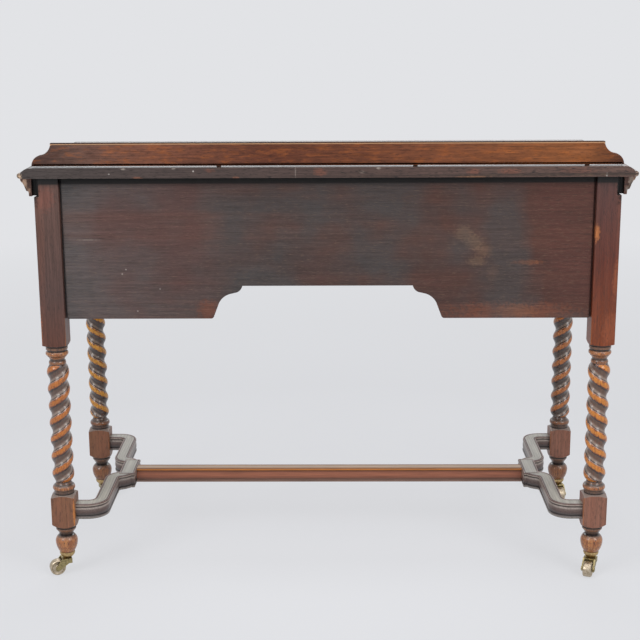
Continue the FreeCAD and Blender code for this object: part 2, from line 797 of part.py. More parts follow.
def drawer_bottom(x0, x1, low, gap=0.0):
    """The bottom board, let into grooves in the front and the sides."""
    z = low + drawer_running_gap + drawer_bottom_lift
    reach = drawer_gap + drawer_side_thickness - drawer_groove_depth - gap
    front = rail_front_y + drawer_front_thickness - drawer_groove_depth - gap
    rear = rail_front_y + drawer_length - drawer_back_set_in
    return box((x0 + reach, front, z - gap), (x1 - reach, rear + gap, z + drawer_bottom_thickness + gap))


def drawer_front(x0, x1, low, high):
    """Front board with a thumbed edge, bored through for the handle's two shanks."""
    front_y = rail_front_y
    board = box((x0 + drawer_gap, front_y, low + drawer_gap),
                (x1 - drawer_gap, front_y + drawer_front_thickness, high - drawer_gap))
    rim = [e for e in board.Edges if e.BoundBox.YMax < front_y + joint_gap]
    board = board.makeFillet(drawer_front_thumb, rim)
    board = board.cut(drawer_bottom(x0, x1, low, joint_gap))
    for side in (-1, 1):
        x = (x0 + x1) / 2 + side * post_spacing / 2
        bore = Part.makeCylinder(handle_shank_radius + joint_gap, drawer_front_thickness + cut_overrun,
                                 V(x, front_y, handle_height(low, high)), V(0, 1, 0))
        board = board.cut(bore)
    return board


def drawer_box(x0, x1, low, high):
    """Two sides, the back between them and the bottom board."""
    base = low + drawer_running_gap
    top = high - drawer_side_drop
    front = rail_front_y + drawer_front_thickness
    rear = rail_front_y + drawer_length
    groove = drawer_bottom(x0, x1, low, joint_gap)
    inner0 = x0 + drawer_gap + drawer_side_thickness
    inner1 = x1 - drawer_gap - drawer_side_thickness
    left = box((x0 + drawer_gap, front, base), (inner0, rear, top)).cut(groove)
    right = box((inner1, front, base), (x1 - drawer_gap, rear, top)).cut(groove)
    back_low = base + drawer_bottom_lift + drawer_bottom_thickness
    back_y = rear - drawer_back_set_in
    back = box((inner0, back_y - drawer_side_thickness, back_low), (inner1, back_y, top - drawer_side_drop))
    return Part.makeCompound([left, right, back, drawer_bottom(x0, x1, low)])


# Handles

def handle_height(low, high):
    """The handle's axis lies above the middle of the front by half the drop of its bail."""
    return (low + high) / 2 + bail_drop / 4


def handle_mount(x, z):
    """Back plate with a narrow waist, two bored posts, and shanks through the front to a nut each."""
    front_y = rail_front_y
    end, tall, waist = plate_length / 2, plate_height / 2, plate_waist / 2
    lobe = post_spacing / 2
    rows = [(x - end, z), (x - lobe - (end - lobe) / 2, z + tall * plate_lobe_share, x - lobe, z + tall),
            (x, z + waist, x + lobe, z + tall),
            (x + lobe + (end - lobe) / 2, z + tall * plate_lobe_share, x + end, z),
            (x + lobe + (end - lobe) / 2, z - tall * plate_lobe_share, x + lobe, z - tall),
            (x, z - waist, x - lobe, z - tall),
            (x - lobe - (end - lobe) / 2, z - tall * plate_lobe_share, x - end, z)]
    parts = [plate_xz(rows, front_y - plate_thickness, front_y)]
    for side in (-1, 1):
        post_x = x + side * lobe
        shank = drawer_front_thickness + handle_nut_height + handle_shank_end
        parts.append(Part.makeCylinder(handle_shank_radius, shank, V(post_x, front_y, z), V(0, 1, 0)))
        length = plate_thickness + handle_post_length
        parts.append(Part.makeCylinder(handle_post_radius, length - handle_post_radius / 2,
                                       V(post_x, front_y - length + handle_post_radius / 2, z), V(0, 1, 0)))
        tip_radius = handle_post_radius * handle_post_tip_share
        tip = Part.makeCone(tip_radius, handle_post_radius, handle_post_radius / 2,
                            V(post_x, front_y - length, z), V(0, 1, 0))
        parts.append(tip)
    whole = parts[0].multiFuse(parts[1:]).removeSplitter()
    bore = Part.makeCylinder(bail_radius + bail_fit, plate_length,
                             V(x - end, front_y - plate_thickness - bail_stand_off, z), V(1, 0, 0))
    return Part.makeCompound([whole.cut(bore), handle_nut(x - lobe, z), handle_nut(x + lobe, z)])


def handle_nut(x, z):
    """Square nut inside the drawer."""
    seat_y = rail_front_y + drawer_front_thickness
    half = handle_nut_across / 2
    nut = box((x - half, seat_y, z - half), (x + half, seat_y + handle_nut_height, z + half))
    hole = Part.makeCylinder(handle_shank_radius + joint_gap, handle_nut_height, V(x, seat_y, z),
                             V(0, 1, 0))
    return nut.cut(hole)


def rod_run(radius, start, end):
    step = end - start
    return Part.makeCylinder(radius, step.Length, start, step)


def rod_bend(radius, start, direction, centre, axis, angle):
    """A quarter of a ring that leaves start along direction."""
    disc = Part.Face(Part.Wire([Part.makeCircle(radius, start, direction)]))
    return disc.revolve(centre, axis, angle)


def bail(x, z):
    """Drop bail: pins through the posts, elbows, two arms and a grip with rounded corners."""
    y = rail_front_y - plate_thickness - bail_stand_off
    parts = []
    pin_in = post_spacing / 2 - handle_post_radius
    pin_out = post_spacing / 2 + bail_pin_reach
    arm_x = pin_out + bail_elbow_radius
    arm_top = z - bail_elbow_radius
    arm_foot = z - bail_drop + bail_bend_radius
    grip_x = arm_x - bail_bend_radius
    grip_z = z - bail_drop
    for side in (-1, 1):
        parts.append(rod_run(bail_radius, V(x + side * pin_in, y, z), V(x + side * pin_out, y, z)))
        parts.append(rod_bend(bail_radius, V(x + side * pin_out, y, z), V(1, 0, 0),
                              V(x + side * pin_out, y, arm_top), V(0, 1, 0), side * 90))
        parts.append(rod_run(bail_radius, V(x + side * arm_x, y, arm_top),
                             V(x + side * arm_x, y, arm_foot)))
        parts.append(rod_bend(bail_radius, V(x + side * arm_x, y, arm_foot), V(0, 0, 1),
                              V(x + side * grip_x, y, arm_foot), V(0, 1, 0), side * 90))
    parts.append(rod_run(bail_radius, V(x - grip_x, y, grip_z), V(x + grip_x, y, grip_z)))
    return parts[0].multiFuse(parts[1:]).removeSplitter()


# Casters

caster_headings = {"rear_right": 22.0, "rear_left": 67.0, "front_right": 205.0, "front_left": 100.0}


def caster_sockets():
    """Brass cups on the ends of the legs, each bored for its caster's pivot."""
    top = foot_bottom
    inner = spigot_radius + socket_fit
    cup = turned([(pivot_radius + pivot_running_fit, socket_bottom), (socket_foot_radius, socket_bottom),
                  (socket_top_radius * socket_waist_share, socket_bottom + socket_height / 2),
                  (socket_top_radius, top - socket_rim_share * socket_height), (socket_top_radius, top),
                  (inner, top), (inner, socket_bottom + socket_floor),
                  (pivot_radius + pivot_running_fit, socket_bottom + socket_floor)])
    cups = []
    for x in (-leg_x, leg_x):
        for y in (front_leg_y, rear_leg_y):
            copy = cup.copy()
            copy.translate(V(x, y, 0))
            cups.append(copy)
    return Part.makeCompound(cups)


def horn():
    """Fork that trails along +X: pivot, neck in front of the wheel, a roof over it and a cheek each side."""
    top = socket_bottom - horn_gap
    neck_low = top - horn_neck_height
    inner = wheel_width / 2 + cheek_gap
    outer = inner + cheek_thickness
    axle = (caster_trail, wheel_radius)
    reach = cheek_eye_radius
    slope = math.atan2(top - wheel_radius, caster_trail + reach - horn_roof_reach)
    upper = (axle[0] + reach * math.sin(slope), axle[1] + reach * math.cos(slope))
    rows = [(-horn_neck_radius, neck_low), (-horn_neck_radius, top), (horn_roof_reach, top), upper,
            (axle[0] + reach, axle[1], axle[0], axle[1] - reach), (0, neck_low)]
    cheeks = [plate_xz(rows, low, low + cheek_thickness) for low in (-outer, inner)]
    bridge = box((-horn_neck_radius, -outer, neck_low), (neck_front(), outer, top))
    roof = box((0, -outer, top - horn_roof_thickness), (horn_roof_reach, outer, top))
    pin = Part.makeCylinder(pivot_radius, pivot_length + horn_gap, V(0, 0, top))
    whole = bridge.multiFuse(cheeks + [roof, pin]).removeSplitter()
    eye = Part.makeCylinder(axle_radius + axle_running_fit, 2 * outer + 2 * cut_overrun,
                            V(axle[0], -outer - cut_overrun, axle[1]), V(0, 1, 0))
    return whole.cut(eye)


def neck_front():
    """How far the neck reaches towards the wheel before it would touch it."""
    drop = socket_bottom - horn_gap - horn_neck_height - wheel_radius
    return min(horn_neck_radius, caster_trail - math.sqrt(wheel_radius ** 2 - drop ** 2) - cheek_gap)


def axle():
    outer = wheel_width / 2 + cheek_gap + cheek_thickness
    centre = V(caster_trail, -outer, wheel_radius)
    pin = Part.makeCylinder(axle_radius, 2 * outer, centre, V(0, 1, 0))
    heads = []
    for y in (-outer - axle_head_height, outer):
        place = V(caster_trail, y, wheel_radius)
        heads.append(Part.makeCylinder(axle_head_radius, axle_head_height, place, V(0, 1, 0)))
    return pin.multiFuse(heads).removeSplitter()


def wheel():
    """Small brass wheel with a dished face each side."""
    half = wheel_width / 2
    bore = axle_radius + axle_running_fit
    rim = wheel_radius * wheel_rim_share
    hub = wheel_radius * wheel_hub_share
    edge = wheel_radius * (1 - wheel_tread_share)
    rows = [(bore, -half), (hub, -half), (hub + wheel_dish, -half + wheel_dish),
            (rim - wheel_dish, -half + wheel_dish), (rim, -half), (edge, -half),
            (wheel_radius, -half + wheel_radius - edge), (wheel_radius, half - wheel_radius + edge),
            (edge, half), (rim, half), (rim - wheel_dish, half - wheel_dish),
            (hub + wheel_dish, half - wheel_dish), (hub, half), (bore, half)]
    spun = turned(rows)
    spun.rotate(V(0, 0, 0), V(1, 0, 0), 90)
    spun.translate(V(caster_trail, 0, wheel_radius))
    return spun


def casters():
    """Each caster stands at the angle that it was last pushed to."""
    nodes = {}
    for name, heading in caster_headings.items():
        x = leg_x if name.endswith("right") else -leg_x
        y = rear_leg_y if name.startswith("rear") else front_leg_y
        for piece, shape in (("horn", horn()), ("axle", axle()), ("wheel", wheel())):
            shape.rotate(V(0, 0, 0), V(0, 0, 1), heading)
            shape.translate(V(x, y, 0))
            nodes[name + "_caster_" + piece] = shape
    return nodes


def build():
    nodes = {"top_board": top_board(), "gallery_board": gallery_board(),
             "gallery_dowels": Part.makeCompound([dowel(x) for x in dowel_places()])}
    nodes.update(top_mouldings())
    nodes.update(legs())
    nodes["back_panel"] = back_panel()
    nodes.update(both_sides(side_panel(), "right_side_panel", "left_side_panel"))
    nodes["front_top_rail"] = front_top_rail()
    nodes.update(both_sides(partition(), "right_partition", "left_partition"))
    nodes.update(both_sides(divider_rail(mid_rail_bottom), "right_mid_rail", "left_mid_rail"))
    nodes.update(both_sides(divider_rail(case_bottom), "right_bottom_rail", "left_bottom_rail"))
    nodes["kneehole_apron"] = kneehole_apron()
    nodes["drawer_runners"] = drawer_runners()
    nodes["drawer_kickers"] = drawer_kickers()
    nodes["glue_blocks"] = glue_blocks()
    nodes.update(both_sides(end_stretcher(), "right_end_stretcher", "left_end_stretcher"))
    nodes["long_stretcher"] = long_stretcher()
    for name, place in drawer_places().items():
        middle = (place[0] + place[1]) / 2
        height = handle_height(place[2], place[3])
        nodes[name + "_front"] = drawer_front(*place)
        nodes[name + "_box"] = drawer_box(*place)
        nodes[name + "_handle_plate"] = handle_mount(middle, height)
        nodes[name + "_bail"] = bail(middle, height)
    nodes["caster_sockets"] = caster_sockets()
    nodes.update(casters())
    return nodes


os.makedirs("parts", exist_ok=True)
for node, shape in build().items():
    shape.exportStep("parts/" + node + ".step")
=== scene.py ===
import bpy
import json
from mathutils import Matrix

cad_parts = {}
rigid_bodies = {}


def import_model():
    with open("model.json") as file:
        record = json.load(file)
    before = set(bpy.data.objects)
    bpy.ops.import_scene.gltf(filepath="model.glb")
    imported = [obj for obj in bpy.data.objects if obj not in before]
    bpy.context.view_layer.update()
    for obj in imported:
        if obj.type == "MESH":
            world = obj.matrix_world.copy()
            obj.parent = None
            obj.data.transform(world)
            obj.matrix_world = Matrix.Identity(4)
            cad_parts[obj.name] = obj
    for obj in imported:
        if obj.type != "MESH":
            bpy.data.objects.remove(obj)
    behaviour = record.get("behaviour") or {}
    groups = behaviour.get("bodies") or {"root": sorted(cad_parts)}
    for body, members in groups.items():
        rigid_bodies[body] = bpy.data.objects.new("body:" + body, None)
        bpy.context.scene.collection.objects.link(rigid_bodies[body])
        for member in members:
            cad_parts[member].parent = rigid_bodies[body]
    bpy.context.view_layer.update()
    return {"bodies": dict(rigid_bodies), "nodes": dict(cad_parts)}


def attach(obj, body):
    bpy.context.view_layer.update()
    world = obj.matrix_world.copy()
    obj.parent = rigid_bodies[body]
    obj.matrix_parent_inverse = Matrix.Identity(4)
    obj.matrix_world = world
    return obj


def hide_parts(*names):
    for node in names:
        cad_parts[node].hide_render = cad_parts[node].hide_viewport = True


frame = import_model()

import json
import math
from functools import partial

import bmesh
import bpy
import numpy as np
from bpy.props import FloatProperty, FloatVectorProperty, IntProperty, PointerProperty
from mathutils import Matrix, Vector

bl_info = {
    "name": "Barley Twist Writing Desk",
    "version": (1, 0, 0),
    "blender": (4, 5, 0),
    "location": "3D View > Sidebar > Desk",
    "description": "Builds the finished surfaces of a kneehole writing desk on barley twist legs",
    "category": "Object",
}

MM = 0.001


def linear(text):
    """An sRGB hex colour such as #5a4747 as linear red, green, blue and alpha."""
    parts = [int(text[k:k + 2], 16) / 255 for k in (1, 3, 5)]
    return tuple([p / 12.92 if p <= 0.04045 else ((p + 0.055) / 1.055) ** 2.4 for p in parts] + [1.0])


# Settings that a user may change


class DeskWoodSettings(bpy.types.PropertyGroup):
    post_stain: FloatVectorProperty(
        name="Post Stain", description="Reddish polish of the square posts and blocks",
        subtype="COLOR", size=4, min=0, max=1, default=linear("#8a5440"))
    bare_wood: FloatVectorProperty(
        name="Bare Wood", description="Paler wood that shows where the polish is rubbed away",
        subtype="COLOR", size=4, min=0, max=1, default=linear("#b06a30"))
    hollow_dirt: FloatVectorProperty(
        name="Hollow Dirt", description="Dark wax and dust in hollows and carving",
        subtype="COLOR", size=4, min=0, max=1, default=linear("#2e2522"))
    grain_spacing: FloatProperty(
        name="Grain Spacing", description="Distance between the lines of the grain",
        subtype="DISTANCE", min=0.0005, max=0.02, default=2.6 * MM)


class DeskLegSettings(bpy.types.PropertyGroup):
    twist_pitch: FloatProperty(
        name="Twist Pitch", description="Height in which one ridge turns once round the leg",
        subtype="DISTANCE", min=0.03, max=0.2, default=64.3 * MM)
    ridge_radius: FloatProperty(
        name="Ridge Radius", description="Radius at the crest of the twist",
        subtype="DISTANCE", min=0.01, max=0.03, default=19.9 * MM)
    hollow_radius: FloatProperty(
        name="Hollow Radius", description="Radius in the bottom of the hollow",
        subtype="DISTANCE", min=0.008, max=0.03, default=15.0 * MM)
    columns: IntProperty(
        name="Columns", description="Points round the leg", min=24, max=360, default=120)


class DeskCarvingSettings(bpy.types.PropertyGroup):
    edge_pitch: FloatProperty(
        name="Edge Pitch", description="Length of one carved lobe on the edge of the top",
        subtype="DISTANCE", min=0.004, max=0.05, default=13 * MM)
    edge_depth: FloatProperty(
        name="Edge Depth", description="Depth of the cuts between the lobes of the edge",
        subtype="DISTANCE", min=0, max=0.004, default=1.1 * MM)
    moulding_pitch: FloatProperty(
        name="Moulding Pitch", description="Length of one carved leaf on the moulding under the top",
        subtype="DISTANCE", min=0.006, max=0.06, default=19 * MM)
    moulding_depth: FloatProperty(
        name="Moulding Depth", description="Depth of the cuts between the leaves",
        subtype="DISTANCE", min=0, max=0.005, default=2.0 * MM)


class DeskBrassSettings(bpy.types.PropertyGroup):
    brass: FloatVectorProperty(
        name="Brass", description="Worn bright brass",
        subtype="COLOR", size=4, min=0, max=1, default=linear("#c3a777"))
    tarnish: FloatVectorProperty(
        name="Tarnish", description="Brown and green film in the corners of the brass",
        subtype="COLOR", size=4, min=0, max=1, default=linear("#7a6e50"))


class DeskStageSettings(bpy.types.PropertyGroup):
    floor: FloatVectorProperty(
        name="Floor", description="Colour of the floor and backdrop",
        subtype="COLOR", size=4, min=0, max=1, default=linear("#e2e3e6"))
    focal_length: FloatProperty(
        name="Focal Length", description="Focal length of the camera in millimetres",
        min=20, max=200, default=75.085)
    soft_light: FloatProperty(
        name="Soft Light", description="Power of each of the two soft lamps behind the camera",
        subtype="POWER", min=0, max=500, default=30)
    overhead_light: FloatProperty(
        name="Overhead Light", description="Power of the broad lamp above the desk",
        subtype="POWER", min=0, max=500, default=26)
    fill_light: FloatProperty(
        name="Fill Light", description="Power of the broad lamp on the sitter's side",
        subtype="POWER", min=0, max=500, default=26)
    sky: FloatProperty(
        name="Sky", description="Strength of the even light from all round",
        min=0, max=2, default=0.42)


# Shapes: every shell is (points, faces, {attribute: value at each point}), in millimetres


def arc(start, middle, end, count):
    """Points on the circle through three points, start left out.

    A real number t from 0 to 1 goes through the ratio (a k (1 - t) + b t) / (k (1 - t) + t), where
    k = (b - m) / (m - a), which carries a straight line onto the circle."""
    a, m, b = (complex(*p) for p in (start, middle, end))
    k = (b - m) / (m - a)
    t = np.arange(1, count + 1) / count
    on = (a * k * (1 - t) + b * t) / (k * (1 - t) + t)
    return np.column_stack([on.real, on.imag])


def profile(rows, count=10, step=None):
    """Rows of 2 numbers are corners and rows of 4 are arcs, as (through, to). Straight runs longer
    than step are divided evenly."""
    points = [np.array([rows[0]], float)]
    for row in rows[1:]:
        here = points[-1][-1]
        if len(row) == 4:
            points.append(arc(here, row[:2], row[2:], count))
            continue
        parts = 1 if step is None else max(1, math.ceil(math.dist(here, row) / step))
        share = np.arange(1, parts + 1)[:, None] / parts
        points.append(here + (np.array(row) - here) * share)
    return np.concatenate(points)


def shares(rows, wide, low, tall):
    """(across share, height share) rows as real sizes."""
    return [tuple(low + v * tall if k % 2 else v * wide for k, v in enumerate(row)) for row in rows]


def mirrored(right):
    """An outline from its right half, and the same half walked back on the left."""
    return np.concatenate([right, right[::-1] * (-1, 1)])


def rectangle(low, high):
    """The four corners of a rectangle, from two opposite ones."""
    return np.array([(low[0], low[1]), (high[0], low[1]), (high[0], high[1]), (low[0], high[1])])


def quads(rows, columns, around):
    """Faces of a grid of points, closed on itself along its columns if around is true."""
    span = columns if around else columns - 1
    r, c = np.meshgrid(np.arange(rows - 1), np.arange(span), indexing="ij")
    n = (c + 1) % columns
    return np.stack([r * columns + c, r * columns + n, (r + 1) * columns + n, (r + 1) * columns + c],
                    axis=-1).reshape(-1, 4).tolist()


def tube(grid, values):
    """Shell from a grid of points of shape (rows, columns, 3), closed round its columns and capped."""
    rows, columns = grid.shape[:2]
    faces = quads(rows, columns, True)
    faces.append(list(range(columns)))
    faces.append(list(range((rows - 1) * columns, rows * columns)))
    return grid.reshape(-1, 3), faces, {k: v.reshape(-1) for k, v in values.items()}


def offset(points, distance):
    """A closed outline moved inwards: each corner moves along the mean of its two edge normals, by
    distance divided by the cosine of half its turn."""
    after = np.roll(points, -1, 0) - points
    before = points - np.roll(points, 1, 0)
    normals = []
    for edge in (before, after):
        edge = edge / np.linalg.norm(edge, axis=1, keepdims=True)
        normals.append(np.column_stack([-edge[:, 1], edge[:, 0]]))
    middle = normals[0] + normals[1]
    middle /= np.linalg.norm(middle, axis=1, keepdims=True)
    cosine = np.maximum((middle * normals[1]).sum(1), 0.3)
    area = (points[:, 0] * np.roll(points[:, 1], -1) - np.roll(points[:, 0], -1) * points[:, 1]).sum()
    return points + np.sign(area) * middle * (distance / cosine)[:, None]


def board(outline, low, high, axis, arris, rim=4):
    """A flat board with quarter-round arrises. The outline lies across the axis, and is carried round
    the edge: in by arris (1 - sin a) and up by arris (1 - cos a), for a from 0 to a right angle. Edge
    is 1 at the rim and 0 further in."""
    turn = np.linspace(0, math.pi / 2, 4)
    inset = arris * (1 - np.sin(turn))
    depth = arris * (1 - np.cos(turn))
    insets = np.concatenate([[rim], inset, inset[::-1], [rim]])
    places = np.concatenate([[low], low + depth, (high - depth)[::-1], [high]])
    rings, edge = [], []
    for move, place in zip(insets, places):
        ring = offset(outline, move)
        rings.append(np.insert(ring, axis, place, axis=1))
        edge.append(np.full(len(ring), 1.0 - min(move / rim, 1.0)))
    return tube(np.array(rings), {"edge": np.array(edge)})


def joined(shells):
    """Several shells as one."""
    points, faces, values, base = [], [], {}, 0
    names = {name for shell in shells for name in shell[2]}
    for more, sides, attributes in shells:
        points.append(more)
        faces += [[v + base for v in side] for side in sides]
        for name in names:
            values.setdefault(name, []).append(attributes.get(name, np.zeros(len(more))))
        base += len(more)
    return np.concatenate(points), faces, {k: np.concatenate(v) for k, v in values.items()}


def piece(name, shell, materials, stands_for, face_material=None, sharp=35):
    """Turns a shell into an object that stands for a CAD node of the case: doubles merged, faces turned
    outwards, and edges sharper than the given angle in degrees kept sharp."""
    points, faces, values = shell
    mesh = bpy.data.meshes.new(name)
    mesh.from_pydata((np.asarray(points) * MM).tolist(), [], faces)
    if face_material is not None:
        mesh.polygons.foreach_set("material_index", np.asarray(face_material, np.int32))
    for key, value in values.items():
        mesh.attributes.new(key, "FLOAT", "POINT").data.foreach_set("value", value.astype(np.float32))
    work = bmesh.new()
    work.from_mesh(mesh)
    bmesh.ops.remove_doubles(work, verts=work.verts, dist=1e-6)
    bmesh.ops.recalc_face_normals(work, faces=work.faces)
    work.to_mesh(mesh)
    work.free()
    mesh.polygons.foreach_set("use_smooth", np.ones(len(mesh.polygons), bool))
    mesh.set_sharp_from_angle(angle=math.radians(sharp))
    for material in materials:
        mesh.materials.append(material)
    made = bpy.data.objects.new(name, mesh)
    bpy.context.scene.collection.objects.link(made)
    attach(made, "case")
    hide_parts(stands_for)


def dress(names, material):
    """Gives CAD nodes their finish."""
    for name in names:
        slots = frame["nodes"][name].data.materials
        slots.clear()
        slots.append(material)


# Sizes shared by the pieces, in millimetres, the same as the solids'

half_width, half_depth, slab_low, top_z = 533.4, 233.7, 742, 760
moulding_low, case_low = 708.5, 490
leg_x, rear_y, front_y, mid_y = 486.4, 200.3, -186.7, 6.8
post_half, notch_half, notch_low = 21.4, 13.4, 708.4
foot_low, block_low, block_high, twist_low, twist_high, post_low = 43.7, 94.1, 158.5, 182.1, 404.2, 439
stretcher_low, stretcher_tall, end_width, long_width = 111, 28, 27, 24


# Top board, gallery and mouldings


def carved(length, pitch, depth, width=1.7):
    """Depth of the cuts between lobes: narrow rounded cuts one pitch apart, with a slight hollow down
    the middle of each lobe."""
    from_cut = np.abs((length / pitch + 0.5) % 1.0 - 0.5) * pitch
    return depth * np.exp(-(from_cut / width) ** 2) + 0.25 * depth * (from_cut / pitch * 2) ** 4


def left_normals(section):
    """Unit normals of an open section, on the left-hand side as it is walked."""
    slope = np.gradient(section, axis=0)
    normal = np.column_stack([-slope[:, 1], slope[:, 0]])
    return normal / np.maximum(np.linalg.norm(normal, axis=1, keepdims=True), 1e-9)


def top_board_shell(carving):
    """The edge section as (set in, height), carried along the left end, the front and the right end
    with mitred corners. Each point of the section has its own path: the rectangle that lies its set-in
    inside the board. The lobes are cut in along the section's normals."""
    section = profile([(23, top_z), (13.4, 757.35, 7, 751.5), (4.6, 751.5), (0, 747.05, 4.6, 742.6),
                       (4.6, slab_low)], count=12)
    carve_here = np.interp(section[:, 1], [742.6, 744.5, 749.5, 751.4], [0, 1, 1, 0])
    lobe_deep = 5
    carve_here *= section[:, 0] < lobe_deep
    set_in, height = section[:, 0][:, None], section[:, 1][:, None]
    side_count, front_count = 330, 760
    corners = [(-1, half_depth, 0), (-1, -half_depth, 1), (1, -half_depth, 1), (1, half_depth, 0)]
    xs, ys, lengths, start = [], [], [], 0.0
    for k, count in enumerate((side_count, front_count, side_count)):
        share = np.arange(0 if k == 0 else 1, count + 1)[None, :] / count
        (x0, y0, in0), (x1, y1, in1) = corners[k], corners[k + 1]
        ax, ay = x0 * (half_width - set_in), y0 + in0 * set_in
        bx, by = x1 * (half_width - set_in), y1 + in1 * set_in
        xs.append(ax + (bx - ax) * share)
        ys.append(ay + (by - ay) * share)
        run = math.dist((x0 * half_width, y0), (x1 * half_width, y1))
        lengths.append(start + share[0] * run)
        start += run
    x, y, length = np.concatenate(xs, 1), np.concatenate(ys, 1), np.concatenate(lengths)
    depth = carving.edge_depth / MM
    z = np.repeat(height, x.shape[1], 1)
    cut = carved(length, carving.edge_pitch / MM, depth)[None, :] * carve_here[:, None]
    columns = x.shape[1]
    column = np.arange(columns)
    on_left, on_right = column <= side_count, column >= side_count + front_count
    x += cut * (on_left * 1.0 - on_right)
    y += cut * ~(on_left | on_right)
    rows = len(section)
    points = np.stack([x, y, z], -1).reshape(-1, 3)
    faces = quads(rows, columns, False)
    faces.append(list(range(columns)))
    faces.append([(rows - 1) * columns + c for c in range(columns)])
    firsts = [r * columns for r in range(rows)]
    faces.append(firsts + [first + columns - 1 for first in reversed(firsts)])
    dirt = cut / max(depth, 1e-3)
    lobe = np.clip(1 - set_in / lobe_deep, 0, 1) * np.ones((1, columns))
    zones = np.zeros(len(faces), int)
    zones[-3] = 1  # the upper face
    return (points, faces, {"dirt": dirt.reshape(-1), "lobe": lobe.reshape(-1)}), zones


def gallery_outline():
    """A long board whose ends are an ogee: a hollow under the top corner, then a round to the foot."""
    low, high = 762.2, 801.5
    foot_x, head_x = 508.4, 474.9
    foot_z, shoulder_z = low + 2, high - 4
    mid_x, mid_z = (foot_x + head_x) / 2 + (foot_x - head_x) * 0.08, (foot_z + shoulder_z) / 2
    belly = (mid_x + (foot_x - mid_x) * 0.66, mid_z - (mid_z - foot_z) * 0.34)
    hollow = (head_x + (mid_x - head_x) * 0.34, mid_z + (shoulder_z - mid_z) * 0.34)
    right = profile([(foot_x, low), (foot_x, foot_z), belly + (mid_x, mid_z),
                     hollow + (head_x, shoulder_z), (head_x, high)], count=14)
    return mirrored(right)


def moulding_section(inner=0.0):
    """Section of the moulding under the top as (out, height), from its foot to the top board. It starts
    at the share inner of its width."""
    rows = shares([(inner, 0.0), (0.43, 0.0), (0.49, 0.24), (0.63, 0.27), (0.75, 0.46, 0.86, 0.70),
                   (1.0, 0.86, 0.95, 1.0), (inner, 1.0)], 25, moulding_low, slab_low - moulding_low)
    return profile(rows, count=9, step=3)


def moulding_shell(carving, section, run_from, run_to, mitre_from, mitre_to, place):
    """The section carried along a straight run whose ends may be mitred: a point that stands out by o
    starts o earlier or ends o later. Leaves are parted by cuts that go in along the section's normals,
    deepest half way up each leaf. place turns (out, along, height) into a point."""
    normal = left_normals(section)
    out, height = section[:, 0], section[:, 1]
    carve_here = np.interp(height, [709, 712, 736, 740], [0, 1, 1, 0]) * (out > 7)
    count = max(4, int((run_to - run_from) / 1.25))
    share = np.arange(count + 1)[None, :] / count
    begin = (run_from - mitre_from * out)[:, None]
    end = (run_to + mitre_to * out)[:, None]
    along = begin + (end - begin) * share
    lean = (height - 725)[:, None] * 0.25
    depth = carving.moulding_depth / MM
    cut = carved(along[len(out) // 2][None, :] + lean, carving.moulding_pitch / MM, depth)
    cut = cut * carve_here[:, None]
    x = out[:, None] + normal[:, :1] * cut
    z = height[:, None] + normal[:, 1:] * cut
    grid = np.stack(place(x, along, z), -1).transpose(1, 0, 2)
    dirt = (cut / max(depth, 1e-3)).T
    lobe = np.repeat(carve_here[None, :], count + 1, 0)
    return tube(grid, {"dirt": dirt, "lobe": lobe})


def block(low, high, arris=0.4):
    """A square-cornered block with eased arrises, between any two opposite corners."""
    low, high = np.minimum(low, high), np.maximum(low, high)
    rim = min(4, 0.3 * min((high - low)[:2]))
    return board(rectangle(low, high), low[2], high[2], 2, min(arris, rim / 2), rim)


# Legs

FOOT = [(.617, 0), (.883, .234, .944, .391), (.888, .542, .710, .643), (.561, .675),
        (.680, .788, .860, .899), (.860, .954), (.808, .964), (.808, 1)]
LOWER_TURNING = [(.808, 0), (.808, .035), (.850, .060), (.850, .275), (.869, .300),
                 (.949, .500, .870, .680), (.820, .700), (.700, .840, .631, 1)]
UPPER_TURNING = [(.692, 0), (.718, .103, .655, .201), (.626, .216), (.626, .270),
                 (.706, .365, .813, .443), (.785, .460), (.951, .580, .832, .713), (.813, .724),
                 (.813, .787), (.916, .805), (.916, .928), (.860, .950), (.860, 1)]
TURNED, SQUARE, TWISTED = 0, 1, 2
UNCUT = 99  # a radius that no section reaches


def leg_rows(notch):
    """The leg from foot to top as rows of (height, largest radius, kind, outer half width). A notch
    lets the rear ends of the mouldings in."""
    rows = [(foot_low - 5, 11, TURNED, post_half), (foot_low, 11, TURNED, post_half)]

    def turned(table, low, high):
        for radius, z in profile(shares(table, post_half, low, high - low), count=12, step=1.5):
            rows.append((z, radius, TURNED, post_half))

    def square(low, high, rise_low, rise_high):
        """A square whose ends are turned round: the cap opens from 18.4 to past the corners."""
        def opened(z, t):
            rows.append((z, 18.4 + 11.86 * t ** 0.85, SQUARE, post_half))

        for t in np.linspace(0, 1, 8):
            opened(low + rise_low * t, t)
        start, end = low + rise_low + 0.5, high - rise_high - 0.5 * (rise_high > 0)
        rows.extend((z, UNCUT, SQUARE, post_half) for z in np.linspace(start, end, 12))
        for t in np.linspace(1, 0, 8) if rise_high else []:
            opened(high - rise_high * t, t)

    def run_out(up, neck):
        """Cap at a height above the twist's end: an arc from its neck to its full width of 20."""
        end = arc((neck, 0), (neck + 0.8 * (20 - neck), 7), (20, 14), 16)
        return np.interp(up, end[:, 1], end[:, 0], left=neck)

    turned(FOOT, foot_low, block_low)
    square(block_low, block_high, 8.5, 5)
    turned(LOWER_TURNING, block_high, twist_low)
    for z in np.linspace(twist_low, twist_high, 176):
        cap = min(run_out(z - twist_low, 13.503), run_out(twist_high - z, 14.809))
        rows.append((z, cap, TWISTED, post_half))
    turned(UPPER_TURNING, twist_high, post_low)
    square(post_low, notch_low if notch else slab_low, 3.4, 0)
    if notch:
        rows += [(z, UNCUT, SQUARE, notch_half) for z in (notch_low, slab_low)]
    return np.array(rows)


